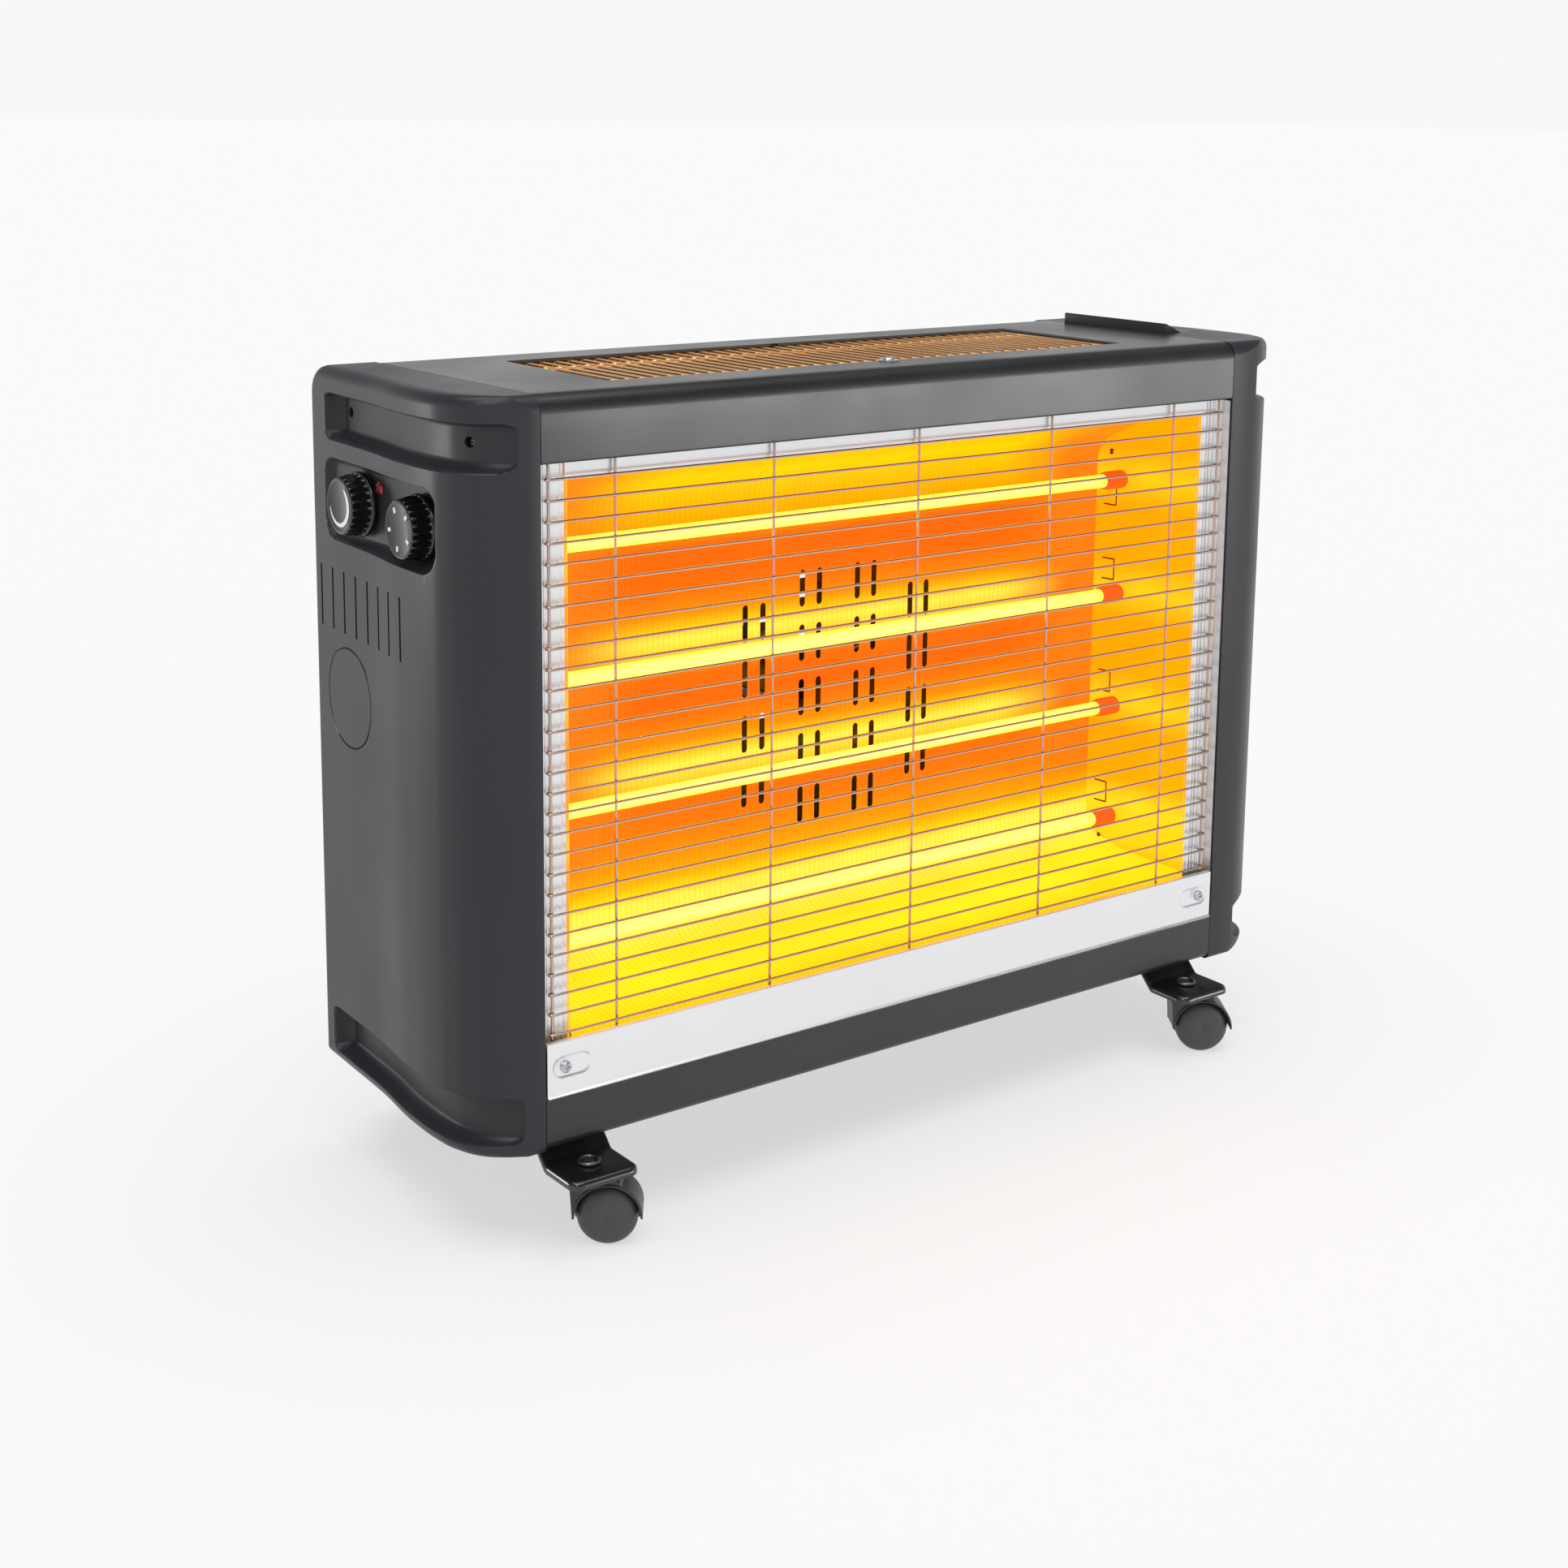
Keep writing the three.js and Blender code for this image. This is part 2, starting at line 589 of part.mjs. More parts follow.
function buildKnob([y, z]) {
  const { floor, face, baseR, faceR, ribs } = KNOB;
  const outline = [];
  for (let k = 0; k < ribs * 2; k += 1) {
    const angle = (k * Math.PI) / ribs;
    const r = k % 2 === 0 ? baseR : baseR - 1.6;
    outline.push([y + r * Math.cos(angle), z + r * Math.sin(angle)]);
  }
  const skirt = prism(outline, 'x', floor, face);
  const cone = turnedSolid('x', [[0, floor - 1], [baseR + 0.6, floor - 1], [baseR + 0.6, floor + 3],
    [faceR + 0.6, face - 1.4], [faceR - 0.6, face], [0, face]], y, z, 18);
  const bore = rod('x', 3.6, y, z, floor - 2, floor + 11, 12);
  return skirt.intersect(cone).subtract(bore).mirror([1, 0, 0]);
}

function buildControlBody([y, z], width, height, depth) {
  const back = CONTROL.floor - CAP_WALL - GAP;
  const body = box(back - depth, back, y - width / 2, y + width / 2, z - height / 2, z + height / 2);
  const neck = rod('x', 4.6, y, z, back - 1, back + 3, 16);
  const shaft = rod('x', 3.2, y, z, back - 1, KNOB.floor + 10, 12);
  return union([body, neck, shaft]).mirror([1, 0, 0]);
}

place('thermostat', buildControlBody(KNOB_AT.thermostat, 34, 26, 26), 'steel');
place('selector_switch', buildControlBody(KNOB_AT.selector, 26, 26, 28), 'blackPlastic');
place('thermostat_knob', buildKnob(KNOB_AT.thermostat), 'blackPlastic');
place('selector_knob', buildKnob(KNOB_AT.selector), 'blackPlastic');

const lens = turnedSolid('x', [[0, 322], [4.4, 322], [4.4, 328.4], [3, 328.4], [3, 333], [1.5, 334], [0, 334.2]],
  LENS.y, LENS.z, 12);
place('indicator_lens', lens.mirror([1, 0, 0]), 'redLens');

place('tilt_switch', box(-318, -292.4, 40, 74, 78, 96), 'blackPlastic');
const terminals = [];
for (let k = 0; k < 4; k += 1) {
  terminals.push(rod('x', 3, 146 + 14 * k, 140, -330, -306, 10));
}
place('terminal_block', cut(box(-312, -292.4, 136, 198, 130, 150), terminals), 'ceramic');

// ---- fan ----
const MOTOR = { y0: 158, y1: 196, radius: 27 };

function buildMotor() {
  const can = rod('y', MOTOR.radius, FAN_Z, FAN_X, MOTOR.y0, MOTOR.y1, 20);
  const arm = box(FAN_X - 60, FAN_X + 60, 192, 196, FAN_Z - 8, FAN_Z + 8);
  const feet = [-1, 1].map((side) => box(FAN_X + side * 54 - 6, FAN_X + side * 54 + 6, 192, 216.6,
    FAN_Z - 8, FAN_Z + 8));
  const shaft = rod('y', 2.5, FAN_Z, FAN_X, 118, MOTOR.y0 + 1, 10);
  return union([can, arm, ...feet, shaft]);
}

function buildImpeller() {
  const hub = rod('y', 15, FAN_Z, FAN_X, 122, 150, 16);
  const blades = [];
  const count = 5;
  for (let k = 0; k < count; k += 1) {
    const blade = box(-16, 16, -0.9, 0.9, 12, 72).rotate([0, 0, 36]);
    blades.push(blade.rotate([0, (360 * k) / count, 0]).translate([FAN_X, 135, FAN_Z]));
  }
  const bore = rod('y', 2.9, FAN_Z, FAN_X, 110, 160, 10);
  return union([hub, ...blades]).subtract(bore);
}

place('fan_motor', buildMotor(), 'steel');
place('fan_impeller', buildImpeller(), 'blackPlastic');

// ---- foot bars and castors ----
const BAR_HALF = 25;
const BAR_Z = { deck: 51, middle: 63.2 };
const BAR_FRONT = -27;

function buildFootBar(side) {
  const far = DEPTH - BAR_FRONT;
  const run = [[BAR_FRONT, 46, 0], [BAR_FRONT, BAR_Z.deck, 3], [8, BAR_Z.deck, 3], [20, BAR_Z.middle, 3],
    [DEPTH - 20, BAR_Z.middle, 3], [DEPTH - 8, BAR_Z.deck, 3], [far, BAR_Z.deck, 3], [far, 46, 0]];
  const x = side * STEM_X;
  const bar = prism(sheetOutline(run, -2), 'x', x - BAR_HALF, x + BAR_HALF);
  const plan = rounded([[x - BAR_HALF, BAR_FRONT, 8], [x + BAR_HALF, BAR_FRONT, 8], [x + BAR_HALF, far, 8],
    [x - BAR_HALF, far, 8]]);
  const holes = [-STEM_Y, DEPTH + STEM_Y].map((y) => rod('z', 4.6, x, y, 30, 60, 12));
  return cut(bar.intersect(prism(plan, 'z', 30, 80)), holes);
}

place('foot_bar_left', buildFootBar(-1), 'blackSteel');
place('foot_bar_right', buildFootBar(1), 'blackSteel');

const HOOD = { outer: 22.4, inner: 20.6, half: 12.5, top: 48.4 };
const WHEEL = { half: 13, gap: 2.9, axle: 3 };

// The castor is built with its stem on the z axis, its axle along y and its wheel towards +x.
function buildHood() {
  const { outer, inner, half, top } = HOOD;
  const drum = rod('y', outer, WHEEL_R, TRAIL, -half, half, 20);
  const upper = drum.intersect(box(-60, 60, -60, 60, WHEEL_R - 1, 60));
  const rooms = [-1, 1].map((side) => {
    const from = side < 0 ? -half - 1 : WHEEL.gap - 0.5;
    const to = side < 0 ? -WHEEL.gap + 0.5 : half + 1;
    return rod('y', inner, WHEEL_R, TRAIL, from, to, 20);
  });
  const web = rod('y', 9, WHEEL_R, TRAIL, -WHEEL.gap + 0.5, WHEEL.gap - 0.5, 12);
  const neck = prism([[-10, -11], [12, -11], [12, 11], [-10, 11]], 'z', WHEEL_R + 17, top);
  const stem = rod('z', 4, 0, 0, top - 2, 53, 10);
  const slot = rod('y', WHEEL.axle + 0.6, WHEEL_R, TRAIL, -20, 20, 12)
    .add(box(TRAIL - 2.7, TRAIL + 2.7, -20, 20, -10, WHEEL_R));
  const shell = cut(union([upper, neck]), rooms);
  return union([shell, web, stem]).subtract(slot);
}

function buildWheel() {
  const { half, gap, axle } = WHEEL;
  const r = WHEEL_R;
  const profile = [[0, -half], [r - 4, -half + 1.4], [r, -half + 4.4], [r, -gap], [axle, -gap],
    [axle, gap], [r, gap], [r, half - 4.4], [r - 4, half - 1.4], [0, half]];
  return turnedSolid('y', profile, WHEEL_R, TRAIL, 20);
}

const STEMS = {
  front_left: [-STEM_X, -STEM_Y],
  front_right: [STEM_X, -STEM_Y],
  rear_left: [-STEM_X, DEPTH + STEM_Y],
  rear_right: [STEM_X, DEPTH + STEM_Y],
};

for (const [corner, [x, y]] of Object.entries(STEMS)) {
  const swing = (solid) => solid.rotate([0, 0, -CASTOR_TURN]).translate([x, y, 0]);
  place(`castor_hood_${corner}`, swing(buildHood()), 'blackPlastic');
  place(`castor_wheel_${corner}`, swing(buildWheel()), 'wheelPlastic');
  const nut = rod('z', 7.6, x, y, BAR_Z.deck + GAP - 0.1, BAR_Z.deck + 3, 14)
    .subtract(rod('z', 4.6, x, y, 40, 60, 10));
  place(`ring_nut_${corner}`, nut, 'steel');
}

// ---- screws and bushing ----
function buildScrew(axis, u, v, face, head, shank, headR, shankR) {
  const dir = Math.sign(head - face);
  const cap = rod(axis, headR, u, v, Math.min(face, head), Math.max(face, head), 12);
  const body = rod(axis, shankR, u, v, Math.min(face + dir * 0.2, shank), Math.max(face + dir * 0.2, shank), 10);
  const size = headR * 0.55;
  const depth = [head - dir * 0.9, head + dir * 2].sort((a, b) => a - b);
  const cross = axis === 'z'
    ? [box(u - size, u + size, v - 0.6, v + 0.6, ...depth), box(u - 0.6, u + 0.6, v - size, v + size, ...depth)]
    : [box(v - size, v + size, ...depth, u - 0.6, u + 0.6), box(v - 0.6, v + 0.6, ...depth, u - size, u + size)];
  return cut(cap.add(body), cross);
}

for (const [name, side] of [['left', -1], ['right', 1]]) {
  const screw = buildScrew('y', SILL_SCREW.z, side * SILL_SCREW.x, SILL.y0 - 1.3, SILL.y0 - 3.4, 7.6, 4, 1.6);
  place(`sill_screw_${name}`, screw, 'steel');
}
place('grille_screw', buildScrew('z', GRILLE_SCREW.x, GRILLE_SCREW.y, Z_TOP + 0.3, Z_TOP + 2.8, Z_TOP - 8, 5.5, 2.1), 'steel');

const bushing = turnedSolid('y', [[4, 213], [9, 213], [9, 216.8], [6.6, 216.8], [6.6, 218.7], [9, 218.7],
  [8, 224], [4, 224], [4, 213]], BUSHING.z, BUSHING.x, 16);
place('cable_bushing', bushing, 'blackPlastic');

export default group;
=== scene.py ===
"""Looks for a four bar quartz radiant heater on castors.

Lengths are millimetres, measured from the middle of the front face on the floor, and are turned
into metres in the part's own frame when a piece is made. The stage is in metres in that frame.
"""
import json
import math

import bpy
import numpy as np
from mathutils import Matrix, Vector

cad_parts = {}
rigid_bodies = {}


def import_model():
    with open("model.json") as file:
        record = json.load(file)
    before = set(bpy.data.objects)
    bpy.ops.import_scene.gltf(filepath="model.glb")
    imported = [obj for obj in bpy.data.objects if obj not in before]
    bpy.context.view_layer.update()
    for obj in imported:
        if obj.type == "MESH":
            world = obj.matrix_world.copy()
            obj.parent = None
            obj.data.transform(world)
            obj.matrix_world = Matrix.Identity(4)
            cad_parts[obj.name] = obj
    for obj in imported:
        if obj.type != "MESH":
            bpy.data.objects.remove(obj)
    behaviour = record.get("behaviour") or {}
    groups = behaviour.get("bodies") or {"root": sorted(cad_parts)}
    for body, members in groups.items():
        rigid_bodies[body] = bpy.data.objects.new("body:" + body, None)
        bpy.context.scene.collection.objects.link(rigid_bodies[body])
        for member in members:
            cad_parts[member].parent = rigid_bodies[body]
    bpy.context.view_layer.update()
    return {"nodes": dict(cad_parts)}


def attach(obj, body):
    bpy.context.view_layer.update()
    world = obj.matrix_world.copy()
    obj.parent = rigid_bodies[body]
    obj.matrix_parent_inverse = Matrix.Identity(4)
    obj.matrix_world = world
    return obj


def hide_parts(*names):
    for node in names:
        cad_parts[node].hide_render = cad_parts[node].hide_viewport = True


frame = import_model()

MM = 0.001
SHIFT = np.array([-6.0, -106.5, 0.0])

# ---- driving dimensions, the same as the part's ----
HALF_W = 295.0
Z_BASE, Z_RAIL, Z_SILL, Z_FASCIA, Z_TOP = 64.5, 98.0, 134.0, 497.0, 538.5
DEPTH, CAP_DEPTH = 220.0, 228.0
TUBE_Y, TUBE_R = 80.0, 5.0
TUBE_Z = [164 + 88.5 * k for k in range(4)]
REFLECTOR_Y = 106.0
END_X, END_LEAN, LEAN_FROM = 272.0, 0.095, 9.0
FAN_X, FAN_Z = 12.0, 294.0
KNOB_AT = {"thermostat": (157, 455), "selector": (77, 452)}
WHEEL_R, TRAIL, CASTOR_TURN = 19.5, 12.0, 35.0
FOOT_X, STEM_Y = 267, {"front": -4, "rear": 224}
SIDES = ((-1, "left"), (1, "right"))
STEMS = {f"{row}_{name}": (side * FOOT_X, y) for row, y in STEM_Y.items() for side, name in SIDES}


# ---- materials ----
def linear(*rgb):
    """A colour given as 0 to 255 display values, as linear light."""
    out = []
    for value in rgb:
        c = value / 255
        out.append(c / 12.92 if c <= 0.04045 else ((c + 0.055) / 1.055) ** 2.4)
    return tuple(out) + (1.0,)


# Noise lies mostly within NOISE_SPAN. The scales are per metre, and FADE_RISE is in mm.
NOISE_SPAN = (0.3, 0.7)
BROAD_SCALE, CLOUD_SCALE, STREAK_SCALE, STREAK_WANDER = 9.0, 14.0, 72.0, 1.2
COAT_ROUGH = 0.12
FADE_RISE = 45


class Nodes:
    """A material with short helpers for its node tree."""

    def __init__(self, name):
        self.mat = bpy.data.materials.new(name)
        self.mat.use_nodes = True
        self.tree = self.mat.node_tree
        self.shader = self.tree.nodes["Principled BSDF"]
        self.coord = self.add("ShaderNodeTexCoord").outputs["Object"]

    def add(self, kind, **values):
        node = self.tree.nodes.new(kind)
        for key, value in values.items():
            setattr(node, key, value)
        return node

    def link(self, source, target):
        self.tree.links.new(source, target)

    def noise(self, scale, stretch=(1, 1, 1), detail=3.0):
        place = self.add("ShaderNodeMapping")
        place.inputs["Scale"].default_value = stretch
        self.link(self.coord, place.inputs["Vector"])
        tex = self.add("ShaderNodeTexNoise")
        tex.inputs["Scale"].default_value = scale
        tex.inputs["Detail"].default_value = detail
        self.link(place.outputs["Vector"], tex.inputs["Vector"])
        return tex.outputs["Fac"]

    def ranged(self, source, start, stop, low=0.0, high=1.0, **values):
        """A value that runs from start to stop, carried to low to high."""
        node = self.add("ShaderNodeMapRange", **values)
        for key, value in (("From Min", start), ("From Max", stop), ("To Min", low), ("To Max", high)):
            node.inputs[key].default_value = value
        self.link(source, node.inputs["Value"])
        return node.outputs["Result"]

    def span(self, noise, low, high):
        return self.ranged(noise, *NOISE_SPAN, low, high)

    def combine(self, operation, *sources):
        node = self.add("ShaderNodeMath", operation=operation)
        for source, target in zip(sources, node.inputs):
            self.link(source, target)
        return node.outputs["Value"]

    def scaled(self, colour, factor):
        """The colour, given or linked, times a varying factor."""
        node = self.add("ShaderNodeVectorMath", operation="SCALE")
        if isinstance(colour, tuple):
            node.inputs[0].default_value = colour[:3]
        else:
            self.link(colour, node.inputs[0])
        self.link(factor, node.inputs["Scale"])
        return node.outputs["Vector"]

    def bump(self, height, depth, strength):
        """A fine relief, depth in mm."""
        node = self.add("ShaderNodeBump")
        node.inputs["Distance"].default_value = depth * MM
        node.inputs["Strength"].default_value = strength
        self.link(height, node.inputs["Height"])
        self.link(node.outputs["Normal"], self.shader.inputs["Normal"])

    def set(self, values):
        for key, value in values.items():
            self.shader.inputs[key].default_value = value
        return self

    def lit(self, colour, strength):
        return self.set({"Emission Color": colour, "Emission Strength": strength})


def finish(name, colour, rough, metal=0.0, tone=0.07, spread=0.06, grain=0.5, depth=0.05,
           strength=0.35, stretch=(1, 1, 1), coat=0.0, specular=0.5):
    """A surface with soft tone changes, uneven gloss and a fine relief. grain is in mm."""
    n = Nodes(name)
    fine = n.noise(1 / (grain * MM), stretch)
    broad = n.noise(BROAD_SCALE, detail=4.0)
    n.link(n.scaled(colour, n.span(broad, 1 - tone, 1 + tone)), n.shader.inputs["Base Color"])
    gloss = n.combine("ADD", n.span(broad, -spread, spread),
                      n.span(fine, rough - spread / 2, rough + spread / 2))
    n.link(gloss, n.shader.inputs["Roughness"])
    n.bump(fine, depth, strength)
    return n.set({"Metallic": metal, "Specular IOR Level": specular, "Coat Weight": coat,
                  "Coat Roughness": COAT_ROUGH})


def fill_ramp(ramp, stops):
    """Sets a colour ramp's stops, each (position, colour)."""
    points = ramp.color_ramp.elements
    while len(points) > 1:
        points.remove(points[-1])
    points[0].position, points[0].color = stops[0]
    for position, colour in stops[1:]:
        points.new(position).color = colour


def glow(n, stops, strength, comb=0.0, fade=None):
    """Painted light: an emission coloured by height on a sheet that is no lamp, standing in for the tubes'
    light on it. stops are (z in mm, colour).

    comb is the share of fine upright streaks. fade is (x from, x to, colour, z): past that
    distance from the middle, and above z, the colour goes over to the one given.
    """
    split = n.add("ShaderNodeSeparateXYZ")
    n.link(n.coord, split.inputs["Vector"])
    low, high = stops[0][0], stops[-1][0]
    ramp = n.add("ShaderNodeValToRGB")
    fill_ramp(ramp, [((z - low) / (high - low), colour) for z, colour in stops])
    n.link(n.ranged(split.outputs["Z"], low * MM, high * MM), ramp.inputs["Fac"])
    colour = ramp.outputs["Color"]
    if fade:
        start, stop, beyond, floor_z = fade
        smooth = {"interpolation_type": "SMOOTHSTEP"}
        away = n.ranged(n.combine("ABSOLUTE", split.outputs["X"]), start * MM, stop * MM, **smooth)
        above = n.ranged(split.outputs["Z"], floor_z * MM, (floor_z + FADE_RISE) * MM, **smooth)
        mix = n.add("ShaderNodeMix", data_type="RGBA")
        n.link(n.combine("MULTIPLY", away, above), mix.inputs["Factor"])
        n.link(colour, mix.inputs["A"])
        mix.inputs["B"].default_value = beyond
        colour = mix.outputs["Result"]
    if comb:
        wave = n.add("ShaderNodeTexWave")
        wave.inputs["Scale"].default_value = STREAK_SCALE
        wave.inputs["Distortion"].default_value = STREAK_WANDER
        n.link(n.coord, wave.inputs["Vector"])
        cloud = n.noise(CLOUD_SCALE, (1, 0.3, 0.3), 2.0)
        colour = n.scaled(colour, n.span(wave.outputs["Fac"], 1 - comb * 0.5, 1 + comb * 0.5))
        colour = n.scaled(colour, n.span(cloud, 1 - comb, 1 + comb * 0.6))
    n.link(colour, n.shader.inputs["Emission Color"])
    n.set({"Emission Strength": strength})


# The colours of the painted glow on the reflector sheets.
AMBER = linear(255, 168, 4)
YELLOW = linear(255, 222, 12)
PALE = linear(255, 244, 84)


def back_stops():
    """Painted light on the sheet behind the tubes: a painted reflection of each tube that fades upwards."""
    stops = [(126, AMBER), (134, YELLOW), (141, linear(255, 236, 30)), (150, PALE), (168, PALE),
             (175, linear(255, 214, 16)), (184, linear(255, 178, 2)), (200, linear(255, 146, 0)),
             (218, linear(255, 120, 0))]
    for z, tail in ((TUBE_Z[1], 112), (TUBE_Z[2], 108)):
        stops += [(z - 16, linear(255, 106, 0)), (z - 7, linear(255, 200, 8)), (z + 9, PALE),
                  (z + 17, linear(255, 206, 14)), (z + 26, linear(255, 146, 0)),
                  (z + 42, linear(255, tail, 0)), (z + 54, linear(255, 100, 0))]
    z = TUBE_Z[3]
    stops += [(z - 16, linear(255, 100, 0)), (z - 4, linear(255, 156, 0)), (z + 10, linear(255, 180, 0)),
              (z + 27, linear(255, 212, 2)), (z + 46, linear(255, 190, 4))]
    return stops + [(496, AMBER)]


CAP = finish("cap_plastic", linear(44, 43, 48), 0.38, tone=0.05, grain=0.55, depth=0.05,
             specular=0.3).mat
PAINT = finish("satin_paint", linear(30, 30, 32), 0.36, tone=0.05, grain=0.3, depth=0.025,
               strength=0.3, coat=0.15).mat
BRIGHT = finish("bright_sheet", linear(238, 239, 241), 0.36, 0.92, tone=0.02, spread=0.03,
                grain=1.6, depth=0.008, strength=0.12, stretch=(0.05, 1, 1)).mat
CHROME = finish("chrome_wire", linear(192, 174, 164), 0.16, 1.0, tone=0.05, spread=0.03,
                grain=2.0, depth=0.01, strength=0.1).mat
CERAMIC = finish("ceramic", linear(214, 190, 152), 0.7, tone=0.1, grain=0.6, depth=0.06).mat
GLOSS = finish("gloss_black", linear(13, 13, 14), 0.22, spread=0.04, grain=1.2, depth=0.01,
               strength=0.15, coat=0.3).mat
MARK = finish("white_print", linear(236, 236, 234), 0.5, tone=0.03, grain=0.4, depth=0.01).mat
STEEL = finish("zinc_steel", linear(196, 198, 202), 0.26, 0.95, tone=0.06, grain=0.8,
               depth=0.015, strength=0.2).mat
ENAMEL = finish("black_enamel", linear(30, 30, 32), 0.2, 0.1, tone=0.06, spread=0.05, grain=1.4,
                depth=0.03, strength=0.2, coat=0.6).mat
WHEEL = finish("wheel_nylon", linear(62, 63, 64), 0.44, tone=0.05, grain=0.5, depth=0.03).mat
HOOD = finish("hood_nylon", linear(48, 48, 50), 0.4, tone=0.05, grain=0.5, depth=0.03).mat
TRAY = finish("tray_plastic", linear(198, 202, 206), 0.42, tone=0.04, grain=0.8, depth=0.02).mat

# The sheet behind the tubes: an orange metal with a painted glow by height, with upright streaks and a
# warmer fade at its sides, that stands in for the tubes' light reflected on it.
back = finish("reflector_back", linear(196, 60, 0), 0.34, 0.85, tone=0.05, grain=1.8,
              depth=0.04, strength=0.4, stretch=(1, 0.05, 0.05))
glow(back, back_stops(), 0.94, comb=0.09, fade=(150, 236, linear(252, 126, 22), 180))
BACK = back.mat
# The end plates: a painted glow by height, brighter beside each row of tubes, that stands in for the tubes'
# light falling on them.
end = finish("reflector_end", linear(196, 92, 0), 0.36, 0.8, tone=0.07, grain=1.5, depth=0.04)
glow(end, [(130, AMBER), (146, linear(255, 214, 20)), (176, linear(255, 222, 34)), (196, AMBER),
           (236, AMBER), (256, linear(255, 212, 30)), (280, AMBER), (322, AMBER),
           (344, linear(255, 210, 30)), (368, AMBER), (408, AMBER), (432, linear(255, 205, 24)),
           (456, AMBER), (496, linear(255, 176, 4))], 0.92)
END = end.mat

COIL = finish("hot_wire", linear(255, 190, 90), 0.5, 0.2, grain=0.8).lit(linear(255, 226, 120), 2.4).mat
quartz = finish("hot_quartz", linear(255, 244, 200), 0.08, spread=0.02, grain=2.0, depth=0.01,
                strength=0.1)
QUARTZ = quartz.set({"Transmission Weight": 0.7, "IOR": 1.46}).lit(linear(255, 232, 60), 0.72).mat
lens = finish("red_lens", linear(84, 6, 9), 0.16, grain=1.0, depth=0.02, coat=0.4)
LENS = lens.lit(linear(230, 20, 24), 0.06).mat
# The ceramic ends: an orange copy of the ceramic with a painted glow, standing in for the tubes' light
# falling on them.
ceramic_glow_nodes = finish("ceramic_painted_glow", linear(190, 84, 30), 0.7, tone=0.1, grain=0.6, depth=0.06)
PAINTED_GLOW_CERAMIC = ceramic_glow_nodes.lit(linear(236, 84, 4), 0.62).mat
# Painted shade: dark red lines for the shade in the cuts round the lanced tabs and in two holes on each end
# plate.
GAP_SHADE = finish("painted_gap_shade", linear(84, 22, 4), 0.6, tone=0.12, grain=0.6, depth=0.03).mat
# The top grille wires: warm chrome with a painted amber glow, standing in for the tubes' light from below.
grille_wire_glow = finish("chrome_wire_painted_glow", linear(252, 222, 176), 0.16, 1.0, tone=0.08, spread=0.03,
              grain=2.0, depth=0.01, strength=0.1)
GRILLE_WIRE_GLOW = grille_wire_glow.lit(linear(255, 158, 60), 0.14).mat
NUT = finish("dark_zinc", linear(104, 105, 108), 0.3, 0.9, tone=0.08, grain=0.8, depth=0.015).mat


# ---- mesh building ----
def merge(parts):
    """One (points, faces) from several."""
    points, faces, base = [], [], 0
    for p, f in parts:
        points.append(np.asarray(p, float).reshape(-1, 3))
        faces += [tuple(i + base for i in face) for face in f]
        base += len(points[-1])
    return np.concatenate(points), faces


def mirrored(part):
    """The mirror image of a part, left for right."""
    points, faces = part
    return points * [-1, 1, 1], [face[::-1] for face in faces]


def on_side(part, side):
    """A part made for the right: as it is for side 1, mirrored to the left for side -1."""
    return part if side > 0 else mirrored(part)


def weld(points, faces):
    """Joins points that lie on each other, and drops the faces that this closes up."""
    _, first, number = np.unique(np.round(points, 4), axis=0, return_index=True, return_inverse=True)
    number = number.reshape(-1)
    out = []
    for face in faces:
        new = tuple(int(number[i]) for i in face)
        if len(set(new)) == len(face):
            out.append(new)
    return points[first], out


def soften(obj, width, segments, angle):
    """Rounds the edges of a mesh that are sharper than an angle."""
    edge = obj.modifiers.new("edges", "BEVEL")
    edge.width = width * MM
    edge.segments = segments
    edge.limit_method = "ANGLE"
    edge.angle_limit = math.radians(angle)


def piece(name, part, look, body="heater", nodes=(), angle=38, bevel=0.0):
    """Makes the object from points in mm, and rides it on its body."""
    points, faces = part
    mesh = bpy.data.meshes.new(name)
    mesh.from_pydata(((points + SHIFT) * MM).tolist(), [], faces)
    mesh.validate()
    mesh.materials.append(look)
    mesh.shade_smooth()
    mesh.set_sharp_from_angle(angle=math.radians(angle))
    obj = bpy.data.objects.new(name, mesh)
    bpy.context.scene.collection.objects.link(obj)
    if bevel:
        soften(obj, bevel, 3, 35)
    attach(obj, body)
    if nodes:
        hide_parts(*nodes)
    return obj


LEAST_STEP = 0.24


def lines(low, high, coarse, bands=(), hard=()):
    """Grid positions: the hard ones exactly, fine steps in the bands, coarse steps elsewhere.

    Two positions in a band stay at least LEAST_STEP apart.
    """
    out = sorted({low, high, *[h for h in hard if low < h < high]})
    for a, b, step in bands:
        count = max(1, round((b - a) / step))
        for k in range(count + 1):
            s = a + (b - a) * k / count
            if low < s < high and min(abs(s - o) for o in out) > LEAST_STEP:
                out.append(s)
    out.sort()
    full = []
    for a, b in zip(out, out[1:]):
        count = max(1, math.ceil((b - a) / coarse - 1e-6))
        full += [a + (b - a) * k / count for k in range(count)]
    return np.array(full + [high])


def to_disc(a, b):
    """Carries a square of half width 1 to a disc."""
    return a * np.sqrt(1 - b * b / 2), b * np.sqrt(1 - a * a / 2)


def round_corner(u, v, corner, inwards, r):
    """Carries the square corner of a grid to a round one; inwards are the signs into the grid."""
    (cu, cv), (su, sv) = corner, inwards
    a, b = (r - (u - cu) * su) / r, (r - (v - cv) * sv) / r
    near = (a > 0) & (b > 0)
    qa, qb = to_disc(np.clip(a, 0, 1), np.clip(b, 0, 1))
    return np.where(near, cu + su * (r - qa * r), u), np.where(near, cv + sv * (r - qb * r), v)


def outline_of(skin):
    """The points round the edge of a grid, once."""
    return np.concatenate([skin[:, 0], skin[-1, 1:], skin[-2::-1, -1], skin[0, -2:0:-1]])


